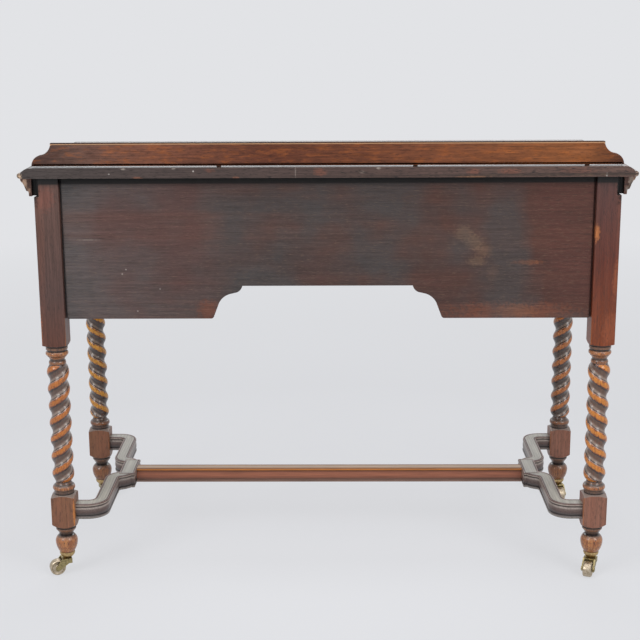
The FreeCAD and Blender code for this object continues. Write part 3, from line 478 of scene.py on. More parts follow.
def leg_shell(settings, x, y, hand, notch):
    """Radius as a function of the angle round the leg and the height. A square's radius is the
    high-power mean ((|cos| / a)^p + (|sin| / b)^p)^(-1/p), which eases its arrises. The twist's section
    is two ridges and two hollows, each an arc, which turn by 360 degrees in one pitch."""
    rows = leg_rows(notch)
    z, cap, kind, outer = (rows[:, k][:, None] for k in range(4))
    side = 1 if x > 0 else -1
    narrow = math.degrees(math.atan2(post_half, notch_half))
    corners = [45, 135, 225, 315] + [(0 if side > 0 else 180) + s * narrow for s in (1, -1)]
    near = [c + d for c in corners for d in (-1.4, -0.6, 0, 0.6, 1.4)]
    even = np.arange(settings.columns) * 360 / settings.columns
    angle = np.radians(np.unique(np.round(np.concatenate([even, np.array(near) % 360]), 4)))[None, :]
    cos, sin = np.cos(angle), np.sin(angle)
    reach_x = np.where(cos * side > 0, outer, post_half)
    power = 46  # the higher, the sharper the arris
    square = ((np.abs(cos) / reach_x) ** power + (np.abs(sin) / post_half) ** power) ** (-1 / power)
    crest, root = settings.ridge_radius / MM, settings.hollow_radius / MM
    flank = root + 0.415 * (crest - root)

    def at(radius, degrees):
        return radius * math.cos(math.radians(degrees)), radius * math.sin(math.radians(degrees))

    ridge = arc(at(flank, -50), at(crest, 0), at(flank, 50), 24)
    hollow = arc(at(flank, 50), at(root, 90), at(flank, 130), 24)
    section = np.concatenate([ridge, hollow])
    section_angle = np.degrees(np.arctan2(section[:, 1], section[:, 0]))
    first_crest = twist_low + 12.6
    turn = hand * 360 * (z - first_crest) / (settings.twist_pitch / MM)
    phase = np.degrees(angle) - turn
    twisted = np.interp(phase, section_angle, np.hypot(section[:, 0], section[:, 1]), period=180)
    radius = np.where(kind == TWISTED, twisted, np.where(kind == SQUARE, square, UNCUT))
    radius = np.minimum(radius, cap)
    px, py = radius * cos, radius * sin
    full = np.ones_like(px)
    mean = np.convolve(np.pad(cap[:, 0], 6, "edge"), np.ones(13) / 13, "valid")[:, None]
    hollow_here = np.where(kind == TURNED, np.clip((mean - cap) / 1.2, 0, 1), 0)
    to_arris = np.maximum(post_half - np.minimum(np.abs(px), np.abs(py)), 0)
    values = {"crest": np.where(kind == TWISTED, np.cos(np.radians(2 * phase)), 0) * full,
              "above": np.where(kind == TWISTED, -hand * np.sin(np.radians(2 * phase)), 0) * full,
              "hollow": hollow_here * full,
              "arris": np.where(kind == SQUARE, np.exp(-(to_arris / 2.6) ** 2), 0) * full}
    grid = np.stack([x + px, y + py, z * full], -1)
    shell = tube(grid, values)
    zone = np.where(kind[1:, 0] == kind[:-1, 0], kind[1:, 0], TURNED).astype(int).repeat(angle.shape[1])
    return shell, np.concatenate([zone, [TURNED, SQUARE]])


# Stretchers

SIDE = [(0.01, 1.0), (0.50, 1.0), (0.70, 1.0), (0.76, 0.965), (0.82, 1.0), (0.92, 1.0), (1.0, 0.93),
        (1.0, 0.85), (0.88, 0.80), (0.93, 0.75), (1.0, 0.50, 0.93, 0.25), (0.88, 0.20), (1.0, 0.15),
        (1.0, 0.06), (0.94, 0.0)]


def stretcher_section(width):
    """Section as (across, height): beads at the corners and a broad round between them."""
    right = profile(shares(SIDE, width / 2, stretcher_low, stretcher_tall), count=8)
    return mirrored(right)


def swept(path, heading, width):
    """The section carried along a path that lies flat: across goes along (-sin h, cos h)."""
    section = stretcher_section(width)
    across, height = section[:, 0][None, :], section[:, 1][None, :]
    x = path[:, :1] - np.sin(heading)[:, None] * across
    y = path[:, 1:] + np.cos(heading)[:, None] * across
    z = np.repeat(height, len(path), 0)
    up = (z - stretcher_low) / stretcher_tall
    out = np.abs(across) / (width / 2) * np.ones_like(x)
    return tube(np.stack([x, y, z], -1), {"up": up, "out": out})


def middle_block(low, high):
    """The stretchers' side section carried round a rectangle, so that the block is moulded on all its
    sides as they are. Each point of the section has its own ring, moved in as far as it stands back."""
    low, high = np.minimum(low, high), np.maximum(low, high)
    half = end_width / 2
    # Its round is drawn very thin and then widened, which spaces its points evenly
    section = profile(shares(SIDE, half * MM, 0, 1), count=8)[::-1] / (MM, 1)
    rings, out = [], []
    for across, up in section:
        ring = offset(rectangle(low, high), half - across)
        rings.append(np.column_stack([ring, np.full(4, low[2] + up * (high[2] - low[2]))]))
        out.append(np.full(4, across / half))
    up = np.repeat(section[:, 1:], 4, 1)
    return tube(np.array(rings), {"up": up, "out": np.array(out)})


def end_path(side):
    """Centre line of an end stretcher, from the rear block to the front one, as points and headings:
    in, round a bend, forwards, an ogee step of two equal arcs, the middle, and the same mirrored."""
    step_out, step_run = 27.3, 40
    step_angle = 2 * math.atan(step_out / step_run)
    step_radius = step_out / 2 / (1 - math.cos(step_angle))
    moves = [(20, 0), (24, 90), (107.5, 0), (step_radius, -math.degrees(step_angle)),
             (step_radius, math.degrees(step_angle)), (22, 0)]
    x, y, heading = leg_x - post_half, rear_y, math.pi
    points, turns = [(x, y)], [heading]
    for size, degrees in moves:
        if degrees == 0:
            x, y = x + size * math.cos(heading), y + size * math.sin(heading)
            points.append((x, y))
            turns.append(heading)
            continue
        sign = 1 if degrees > 0 else -1
        centre = (x - sign * size * math.sin(heading), y + sign * size * math.cos(heading))
        for turn in heading + math.radians(degrees) * np.linspace(0, 1, 15)[1:]:
            points.append((centre[0] + sign * size * math.sin(turn),
                           centre[1] - sign * size * math.cos(turn)))
            turns.append(turn)
        heading = turns[-1]
        x, y = points[-1]
    points, turns = np.array(points), np.array(turns)
    back = points[::-1][1:] * (1, -1) + (0, 2 * mid_y)
    points = np.concatenate([points, back]) * (side, 1)
    turns = np.concatenate([turns, 3 * math.pi - turns[::-1][1:]])
    return points, turns if side > 0 else math.pi - turns


# Materials

MIX_COLOUR_INPUTS, MIX_COLOUR_OUTPUT = (0, 6, 7), 2
# Lumps of noise per metre: about 140, 17, 9, 5, 4 and 1 mm each
BROAD, PATCHY, MOTTLED, RAGGED, FLECKED, FINE = 7, 60, 110, 190, 260, 900


def add(owner, kind, *values, out=0, stops=None, **named):
    """Adds a node to a material or a world, and returns one of its outputs. Inputs are values, hex
    colours or other nodes' outputs, in the order of the sockets or by name, with _ for a space. Names
    in small letters are the node's settings. A Mix mixes colours. stops gives a ramp's colours by
    place."""
    tree = owner.node_tree
    made = tree.nodes.new("ShaderNode" + kind)
    order = range(len(values))
    if kind == "Mix":
        made.data_type, order, out = "RGBA", MIX_COLOUR_INPUTS, MIX_COLOUR_OUTPUT
    inputs = dict(zip(order, values))
    for name, value in named.items():
        if name[0].isupper():
            inputs[name.replace("_", " ")] = value
        else:
            setattr(made, name, value)
    if stops:
        ramp = made.color_ramp
        while len(ramp.elements) < len(stops):
            ramp.elements.new(1)
        for element, (place, colour) in zip(ramp.elements, stops.items()):
            element.position = place
            element.color = linear(colour) if isinstance(colour, str) else (colour, colour, colour, 1)
    for key, value in inputs.items():
        if isinstance(value, bpy.types.NodeSocket):
            tree.links.new(value, made.inputs[key])
        else:
            made.inputs[key].default_value = linear(value) if isinstance(value, str) else value
    return made.outputs[out] if made.outputs else None


def shading(owner):
    """Empties the nodes of a material or a world, and returns add bound to it."""
    owner.use_nodes = True
    owner.node_tree.nodes.clear()
    return partial(add, owner)


def new_material(name):
    return shading(bpy.data.materials.new(name))


def veiled(node, colour, tint, pattern, low, high, most=1):
    """A tint laid over a colour: not at all where the pattern is low, and by most where it is high."""
    return node("Mix", node("MapRange", pattern, low, high, 0, most), colour, tint)


def surface(node, colour, roughness, height, bump, coat=0, coat_roughness=0.3, metallic=0, gloss=0.3):
    """The shader with its bump, in millimetres, and a coat of polish. Old dull polish has less gloss
    than fresh lacquer, whose level is 0.5. Returns the material."""
    normal = node("Bump", Height=height, Distance=bump * MM)
    shader = node("BsdfPrincipled", Base_Color=colour, Roughness=roughness, Normal=normal,
                  Metallic=metallic, Specular_IOR_Level=gloss, Coat_Weight=coat,
                  Coat_Roughness=coat_roughness)
    node("OutputMaterial", Surface=shader)
    return node.args[0]


def fibres(node, along, wood, seed=0, pore=1):
    """Wood fibres along one axis, from noises drawn out along it: lines a spacing apart, pores as
    short dashes of a given strength, and a broad figure. The place they lie at comes first."""
    place = node("TexCoord", out="Object")
    drawn = [1, 1, 1]
    drawn["XYZ".index(along)] = 0.035
    run = node("Mapping", Vector=place, Location=(seed, seed, seed), Scale=drawn)
    lines = node("TexNoise", Vector=run, Scale=1 / wood.grain_spacing, Detail=5, Roughness=0.62,
                 Distortion=0.15)
    drawn["XYZ".index(along)] = 0.11
    dash = node("Mapping", Vector=place, Location=(seed, 0, seed), Scale=drawn)
    pores = node("TexNoise", Vector=dash, Scale=2.4 / wood.grain_spacing, Detail=2)
    pores = node("ValToRGB", pores, stops={0.34: pore, 0.44: 0})
    figure = node("TexNoise", Vector=run, Scale=0.09 / wood.grain_spacing, Detail=3, Roughness=0.55,
                  Distortion=0.6)
    return place, lines, pores, figure


def stained(node, colour, lines, pores, wood, dark=0.62, light=1.35):
    """Stain that took unevenly along the fibres, with dark pores."""
    shade = node("ValToRGB", lines, stops={0.32: dark, 0.5: 1, 0.68: light})
    colour = node("Mix", 1, colour, shade, blend_type="MULTIPLY")
    return node("Mix", pores, colour, wood.hollow_dirt)


def toned(node, along, low, high, stops):
    """Colours laid out along one axis, from low to high in millimetres."""
    part = node("SeparateXYZ", node("TexCoord", out="Object"), out="XYZ".index(along))
    part = node("MapRange", part, low * MM, high * MM)
    return node("ValToRGB", part, stops=stops)


def painted_overhang_shadow(node, colour):
    """Painted shadow of the top board's overhang: near-black shade laid over the last few millimetres
    below the top board.
    """
    near = toned(node, "Z", 722, 737, {0: 0, 0.45: 0.3, 0.62: 0.95, 1: 1})
    return node("Mix", near, colour, "#0c0908")


def dust_and_sheen(node, colour, most, tint):
    """Dull grey bloom on whatever faces up: dust and old wax, and painted sheen for the overhead
    light's reflection.
    """
    up = node("SeparateXYZ", node("NewGeometry", out=1), out=2)
    return veiled(node, colour, tint, up, 0.25, 0.95, most)


def rubbed_lobes(node, place, colour):
    """Proud lobes and leaves of the carving, rubbed pale in patches."""
    lobe = node("Attribute", out=2, attribute_name="lobe")
    patchy = node("TexNoise", Vector=place, Scale=PATCHY, Detail=3)
    pale = node("Math", lobe, patchy, operation="MULTIPLY")
    return veiled(node, colour, "#b48c6a", pale, 0.3, 0.62, 0.7)


def wear_stain_and_shade_spots(node, place, colour, table):
    """Small worn or stained spots, and spots of painted shade, at their own places: 1 at the middle of
    an ellipsoid, 0 at its rim, broken up by a noise. Rows are (x, y, z), (size x, y, z), both in
    millimetres, strength, colour."""
    ragged = node("TexNoise", Vector=place, Scale=RAGGED, Detail=4)
    for centre, size, strength, tint in table:
        scale = [1000 / v for v in size]
        shift = [-c * MM * k for c, k in zip(centre, scale)]
        near = node("Mapping", Vector=place, Location=shift, Scale=scale)
        near = node("TexGradient", Vector=near, out=1, gradient_type="SPHERICAL")
        near = node("Math", near, ragged, operation="ADD")
        colour = veiled(node, colour, tint, near, 0.80, 1.20, strength)
    return colour


PANEL_MARKS = [
    ((-238, 215, 642), (28, 30, 24), 0.3, "#9a7a5c"), ((-256, 215, 627), (30, 30, 24), 0.36, "#9a7a5c"),
    ((-274, 215, 612), (28, 30, 22), 0.34, "#8f6c50"),
    ((-262, 215, 592), (30, 30, 15), 0.24, "#a08060"), ((-290, 215, 572), (22, 30, 26), 0.2, "#9a6e50"),
    ((-350, 215, 590), (46, 30, 8), 0.5, "#9c5c38"), ((-330, 215, 500), (190, 40, 34), 0.5, "#8a4e34"),
    ((-331, 215, 502), (60, 40, 24), 0.6, "#a86238"), ((211, 215, 505), (32, 40, 32), 0.6, "#7a4632"),
    ((417, 215, 632), (34, 30, 2.4), 0.6, "#8a8078"), ((354, 215, 579), (2.4, 9, 2.4), 0.7, "#bfb6ad"),
    ((361, 215, 571), (2.2, 9, 2.2), 0.6, "#bfb6ad"), ((295, 215, 544), (2.4, 9, 2.4), 0.6, "#bfb6ad"),
    ((336, 215, 504), (2.2, 9, 2.2), 0.6, "#bfb6ad"),
]
# Near-black painted shade in the notch at the top outer corner of each rear post
NOTCH_SHADE_MARKS = [
    ((508, 222, 728), (15, 80, 60), 1, "#0c0909"), ((-508, 222, 728), (15, 80, 60), 1, "#0c0909"),
]
POST_MARKS = [
    ((490, 222, 706), (30, 40, 40), 0.4, "#8a5040"), ((513, 222, 482), (12, 40, 70), 0.9, "#a8623a"),
    ((466, 222, 126), (4, 30, 44), 1, "#c07c44"), ((506, 222, 150), (6, 30, 30), 0.5, "#4a342c"),
    ((-468, 222, 643), (9, 40, 26), 1, "#b87040"), ((-505, 222, 560), (10, 40, 60), 0.5, "#a05a38"),
    ((-500, 222, 470), (30, 40, 50), 0.5, "#985436"),
]
SLAB_MARKS = [
    ((12, 234, 752), (20, 20, 12), 0.5, "#84503c"), ((-312, 234, 752), (34, 20, 10), 0.5, "#84503c"),
    ((-251, 234, 752), (22, 20, 10), 0.5, "#7e4c3a"), ((-431, 234, 752), (60, 20, 12), 0.35, "#7a4c3c"),
    ((200, 234, 755), (14, 20, 6), 0.4, "#84503c"), ((374, 234, 749), (2.6, 9, 2.6), 0.55, "#a8a098"),
    ((350, 234, 758), (7, 9, 3), 0.8, "#a09488"), ((262, 234, 758), (7, 9, 3), 0.7, "#a09488"),
    ((229, 234, 754), (2.6, 9, 2.6), 0.7, "#c8c0b8"), ((-60, 234, 752), (8, 9, 5), 0.5, "#8a7a6e"),
    ((-88, 234, 758), (8, 9, 3), 0.7, "#a09488"), ((54, 234, 751), (2, 9, 16), 0.5, "#94867c"),
    ((-478, 234, 746), (2.6, 9, 5), 0.9, "#c8c0b8"), ((325, 234, 743), (18, 9, 3), 0.7, "#8a5a44"),
    ((156, 234, 743), (12, 9, 3), 0.7, "#8a5a44"), ((-250, 234, 743), (40, 9, 3), 0.8, "#9a6e50"),
    # Pale carved nosing at both ends of the back edge: rubbed wood, lightened further as painted
    # highlight
    ((532, 234, 747), (13, 30, 9), 1, "#dcbc9c"), ((-532, 234, 747), (13, 30, 9), 1, "#c0a48e"),
]
# Moulding ends: pale rubbed lumps, partly painted highlight; the dark rows are painted shade on the
# inner part of the end and on the notch's back wall
MOULDING_WEAR_AND_SHADE_MARKS = [
    ((525, 211, 732), (8, 14, 14), 1, "#d0ac90"), ((519, 211, 718), (6, 14, 9), 1, "#b8937a"),
    ((-525, 211, 732), (8, 14, 14), 1, "#a89484"), ((-519, 211, 718), (6, 14, 9), 0.8, "#96857a"),
    ((512, 211, 724), (4, 14, 26), 0.8, "#2a201e"), ((-512, 211, 724), (4, 14, 26), 0.8, "#2a201e"),
    ((510, 199.7, 725), (16, 9, 50), 1, "#0c0909"), ((-510, 199.7, 725), (16, 9, 50), 1, "#0c0909"),
]


def panel_wood(wood):
    """Stained and once polished oak boards of the back, now dull, with fine level grain."""
    node = new_material("stained_oak_back")
    place, lines, pores, figure = fibres(node, "X", wood)
    colour = toned(node, "X", -460, 460, {0: "#53332b", 0.3: "#4b342e", 0.62: "#4b3a36", 1: "#5b5250"})
    red = node("ValToRGB", figure, stops={0.45: 0, 0.75: 0.4})
    colour = node("Mix", red, colour, "#6e4638")
    colour = wear_stain_and_shade_spots(node, place, colour, PANEL_MARKS)
    dull = node("TexNoise", Vector=place, Scale=BROAD, Detail=3)
    colour = veiled(node, colour, "#424444", dull, 0.5, 0.66, 0.6)
    colour = veiled(node, colour, "#5a352e", dull, 0.48, 0.34, 0.45)
    flecks = node("Math", pores, 0.14, operation="MULTIPLY")
    colour = node("Mix", flecks, colour, "#a08468")
    fine = node("Mapping", Vector=place, Scale=(0.06, 1, 1))
    fine = node("TexNoise", Vector=fine, Scale=FINE, Detail=3)
    fine = node("MapRange", fine, 0.56, 0.7, 0, 0.5)
    colour = stained(node, colour, lines, fine, wood, 0.78, 1.24)
    # Painted shadow below the top board's overhang
    colour = painted_overhang_shadow(node, colour)
    height = node("Math", lines, pores, operation="SUBTRACT")
    return surface(node, colour, 0.5, height, 0.25, coat=0.08, coat_roughness=0.35, gloss=0.25)


def post_wood(wood):
    """Polished square post: stain with upright grain, greyer on the left leg and redder on the right,
    rubbed pale along its arrises."""
    node = new_material("polished_oak_post")
    place, lines, pores, figure = fibres(node, "Z", wood, 0.37, pore=0.45)
    left = toned(node, "Z", 90, 742, {0: "#81573f", 0.3: "#81573f", 0.54: "#5f3b2f", 0.68: "#57403a",
                                      0.86: "#5d443c", 1: "#6b4f46"})
    right = toned(node, "Z", 90, 742, {0: "#8a5e4c", 0.3: "#8a5e4c", 0.54: "#7b3a1a", 0.77: "#5f2e21",
                                       1: "#563c38"})
    side = toned(node, "X", -10, 10, {0: 0, 1: 1})
    colour = node("Mix", side, right, left)
    warm = node("ValToRGB", figure, stops={0.48: 0, 0.75: 0.6})
    colour = node("Mix", warm, colour, wood.post_stain)
    colour = wear_stain_and_shade_spots(node, place, colour, POST_MARKS)
    colour = stained(node, colour, lines, pores, wood, 0.76, 1.22)
    # Painted shadow below the top board's overhang
    colour = painted_overhang_shadow(node, colour)
    # Dust, and painted sheen of the overhead light, on up-facing surfaces
    colour = dust_and_sheen(node, colour, 0.7, "#8f8780")
    # Painted shade in the notches at the rear posts' top outer corners
    colour = wear_stain_and_shade_spots(node, place, colour, NOTCH_SHADE_MARKS)
    arris = node("Attribute", out=2, attribute_name="arris")
    low = toned(node, "Z", 450, 500, {0: 1, 1: 0.55})
    rubbed = node("Math", arris, lines, operation="MULTIPLY")
    rubbed = node("Math", rubbed, low, operation="MULTIPLY")
    colour = veiled(node, colour, wood.bare_wood, rubbed, 0.3, 0.62, 0.6)
    height = node("Math", lines, pores, operation="SUBTRACT")
    return surface(node, colour, 0.45, height, 0.2, coat=0.12, coat_roughness=0.28)


def turned_wood(wood):
    """Turned and polished beads and balls: shiny red-brown, dark in the hollows, grey on top with dust
    and painted sheen, and painted darker on the far legs as shade.
    """
    node = new_material("polished_oak_turning")
    place, lines, pores, _ = fibres(node, "Z", wood, 0.61)
    colour = node("ValToRGB", lines, stops={0.3: "#7c4628", 0.5: "#ac6a3c", 0.7: "#c88c54"})
    colour = node("Mix", pores, colour, wood.hollow_dirt)
    # Painted shade: the far legs' turnings, under the desk, are darkened towards #54301f
    far = toned(node, "Y", -150, 150, {0: 0.45, 1: 0})
    colour = node("Mix", far, colour, "#54301f")
    # Dust, and painted sheen of the overhead light, on up-facing surfaces
    colour = dust_and_sheen(node, colour, 0.6, "#8a7e76")
    colour = rings(node, colour)
    hollow = node("Attribute", out=2, attribute_name="hollow")
    colour = node("Mix", hollow, colour, wood.hollow_dirt)
    return surface(node, colour, 0.32, lines, 0.1, coat=0.6, coat_roughness=0.18)


# Bands of dark wax and dust, and painted shade under the block, under the post and round the lower bead
RING_WAX_DUST_AND_SHADE = [
    (40, 96, {0: 0.5, 0.12: 0.1, 0.60: 0, 0.66: 0.8, 0.80: 0.9, 0.86: 0.5, 0.94: 0.9}),
    (158, 183, {0: 0.8, 0.28: 0.7, 0.33: 1, 0.42: 0.35, 0.52: 0, 0.64: 0.4, 0.74: 1, 0.84: 0.5}),
    (404, 440, {0: 0.6, 0.1: 0.3, 0.24: 0.9, 0.30: 0.5, 0.44: 0, 0.46: 0.8, 0.50: 0, 0.70: 0, 0.73: 1,
                0.77: 0.6, 0.93: 0.8, 1: 1}),
]


def rings(node, colour):
    """Darker grey bands laid out up the leg: dark wax in the turned lines, grey dust on the fillets,
    and painted shade under the block, under the post and beside the middle of the lower bead: foot and
    neck, the beads below the twist, and the beads above it."""
    for low, high, stops in RING_WAX_DUST_AND_SHADE:
        inside = toned(node, "Z", low, high, {0: 0, 0.001: 1, 0.999: 1, 1: 0})
        dark = toned(node, "Z", low, high, stops)
        dark = node("Math", inside, dark, operation="MULTIPLY")
        colour = node("Mix", dark, colour, "#4e443e")
    return colour


def twist_wood(wood, name, stripe, stripe_edge, groove_stain_and_shade, groove_sheen):
    """Hand-rasped barley twist: the stain is rubbed off in a stripe along each crest, redder at the
    stripe's edges, with a thin painted highlight line above it. The hollows are dark stain, painted
    darkest beside the stripes as shade and paler in the middle as painted sheen, with more painted
    sheen on their up-facing side. Crest and above are the cosine and sine of the way round from one
    crest to the next."""
    node = new_material(name)
    place, lines, pores, _ = fibres(node, "Z", wood, 0.83, pore=0.6)
    crest = node("Attribute", out=2, attribute_name="crest")
    above = node("Attribute", out=2, attribute_name="above")
    ragged = node("TexNoise", Vector=place, Scale=MOTTLED, Detail=4)
    ragged = node("MapRange", ragged, 0.3, 0.7, -0.16, 0.16)
    edge = node("Math", crest, ragged, operation="ADD")
    fleck = node("TexNoise", Vector=place, Scale=FLECKED, Detail=3)
    fleck = node("MapRange", fleck, 0.5, 0.36, 0, -0.34)
    share = node("Math", edge, fleck, operation="ADD")
    share = node("MapRange", share, -1, 1)
    colour = node("ValToRGB", share, stops={0: groove_sheen, 0.22: groove_sheen, 0.44: groove_stain_and_shade,
                                            0.58: groove_stain_and_shade, 0.69: stripe_edge, 0.86: stripe, 1: stripe})
    colour = stained(node, colour, lines, 0, wood, 0.72, 1.18)
    # Painted sheen: pale grey-brown on the up-facing side of each hollow, standing in for the lamps'
    # reflection
    low = node("MapRange", edge, 0.1, -0.3)
    sheen = node("MapRange", above, 0.25, 0.85, 0, 0.62)
    sheen = node("Math", sheen, low, operation="MULTIPLY")
    colour = node("Mix", sheen, colour, "#a08e80")
    colour = node("Mix", pores, colour, stripe_edge)
    # Painted highlight: a thin pale line along the upper edge of each stripe
    upper = node("MapRange", above, 0.35, 0.6)
    line = node("ValToRGB", edge, stops={0.2: 0, 0.32: 0.4, 0.42: 0.4, 0.54: 0})
    line = node("Math", line, upper, operation="MULTIPLY")
    colour = node("Mix", line, colour, "#d8b8a0")
    return surface(node, colour, 0.4, lines, 0.2, coat=1, coat_roughness=0.22)


def carved_wood(wood):
    """Carved moulding: proud leaves rubbed pale, dark in the cuts, and its backing painted near-black
    as shade.
    """
    node = new_material("carved_oak_moulding")
    place, lines, *_ = fibres(node, "X", wood, 0.19)
    colour = node("ValToRGB", lines, stops={0.3: "#3c2a26", 0.5: "#573a31", 0.7: "#6e4a3a"})
    colour = rubbed_lobes(node, place, colour)
    # Worn ends with painted highlight, and painted shade at the moulding ends
    colour = wear_stain_and_shade_spots(node, place, colour, MOULDING_WEAR_AND_SHADE_MARKS)
    dirt = node("Attribute", out=2, attribute_name="dirt")
    colour = node("Mix", dirt, colour, "#100c0c")
    return surface(node, colour, 0.5, lines, 0.2, coat=0.2, coat_roughness=0.3)


def gallery_wood(wood):
    """Gallery: mottled orange-brown polish, greyer at the left end and darker at both, with a worn gold
    line along its arris."""
    node = new_material("polished_oak_gallery")
    place, lines, pores, _ = fibres(node, "X", wood, 0.5, pore=0.45)
    colour = toned(node, "X", -508, 508, {0: "#503023", 0.07: "#8c5634", 0.3: "#784932",
                                          0.6: "#62392a", 0.8: "#7a4e3c", 0.93: "#684e44",
                                          1: "#4a3630"})
    streak = node("Mapping", Vector=place, Scale=(0.3, 1, 1))
    mottle = node("TexNoise", Vector=streak, Scale=MOTTLED, Detail=5, Roughness=0.7)
    colour = veiled(node, colour, "#a86030", mottle, 0.5, 0.72, 0.6)
    colour = veiled(node, colour, "#4a2e24", mottle, 0.46, 0.28, 0.6)
    colour = stained(node, colour, lines, pores, wood, 0.74, 1.26)
    foot = toned(node, "Z", 762, 770, {0: 0.3, 1: 0})
    colour = node("Mix", foot, colour, "#3a241c")
    edge = node("Attribute", out=2, attribute_name="edge")
    high = toned(node, "Z", 796, 801.5, {0: 0, 0.45: 1, 0.75: 1, 0.9: 0})
    rubbed = node("Math", edge, high, operation="MULTIPLY")
    colour = veiled(node, colour, "#c09670", rubbed, 0.25, 0.5, 0.78)
    upper = toned(node, "Z", 800.2, 801.3, {0: 0, 1: 1})
    colour = node("Mix", upper, colour, "#2a1a14")
    rough = node("MapRange", upper, 0, 1, 0.42, 0.9)
    return surface(node, colour, rough, lines, 0.2, gloss=0.12)


def slab_wood(wood, name, coat, coat_roughness):
    """Top board: dark polish, shiny on its upper face, with its back edge dull, nicked and stained, and
    the carved lobes of the other edges rubbed pale."""
    node = new_material(name)
    place, lines, pores, _ = fibres(node, "X", wood, 0.71)
    colour = toned(node, "X", -530, 530, {0: "#5e473e", 0.5: "#4e3c36", 1: "#423a37"})
    colour = wear_stain_and_shade_spots(node, place, colour, SLAB_MARKS)
    colour = stained(node, colour, lines, pores, wood)
    colour = rubbed_lobes(node, place, colour)
    dirt = node("Attribute", out=2, attribute_name="dirt")
    colour = node("Mix", dirt, colour, wood.hollow_dirt)
    return surface(node, colour, 0.42, lines, 0.2, coat=coat, coat_roughness=coat_roughness)


def stretcher_wood(wood, name, along, side_stops, top_stops):
    """Stretchers: dark stain with worn beads, painted highlight lines along the beads and painted shade
    in the grooves between them; the tops are rubbed by feet and painted pale grey as the overhead
    light's reflection. The side's colours go from its foot to its top, and the top's from its middle to
    its edges."""
    node = new_material(name)
    _, lines, *_ = fibres(node, along, wood, 0.27)
    up = node("Attribute", out=2, attribute_name="up")
    out = node("Attribute", out=2, attribute_name="out")
    side = node("ValToRGB", up, stops=side_stops)
    top = node("ValToRGB", out, stops=top_stops)
    colour = veiled(node, side, top, up, 0.955, 0.975)
    colour = stained(node, colour, lines, 0, wood, 0.75, 1.2)
    return surface(node, colour, 0.42, lines, 0.2, coat=0.3, coat_roughness=0.28)


def plain_wood(wood, name, along, dark, light, roughness, coat):
    """Other boards: sawn oak or deal with grain along one axis, polished or left bare."""
    node = new_material(name)
    _, lines, pores, figure = fibres(node, along, wood, 0.43, pore=0.4)
    colour = node("Mix", lines, dark, light)
    cloud = node("ValToRGB", figure, stops={0.35: 0.75, 0.65: 1.2})
    colour = node("Mix", 1, colour, cloud, blend_type="MULTIPLY")
    colour = node("Mix", pores, colour, wood.hollow_dirt)
    return surface(node, colour, roughness, lines, 0.2, coat=coat, coat_roughness=0.25)


def aged_brass(name, bright, film_colour, most):
    """Cast brass, rubbed bright where hands and floors touch it, filmed with tarnish elsewhere."""
    node = new_material(name)
    place = node("TexCoord", out="Object")
    cloud = node("TexNoise", Vector=place, Scale=FLECKED, Detail=5)
    colour = veiled(node, bright, film_colour, cloud, 0.42, 0.66, most)
    rough = node("MapRange", cloud, 0.3, 0.7, 0.3, 0.58)
    return surface(node, colour, rough, cloud, 0.1, metallic=1)


# Operators


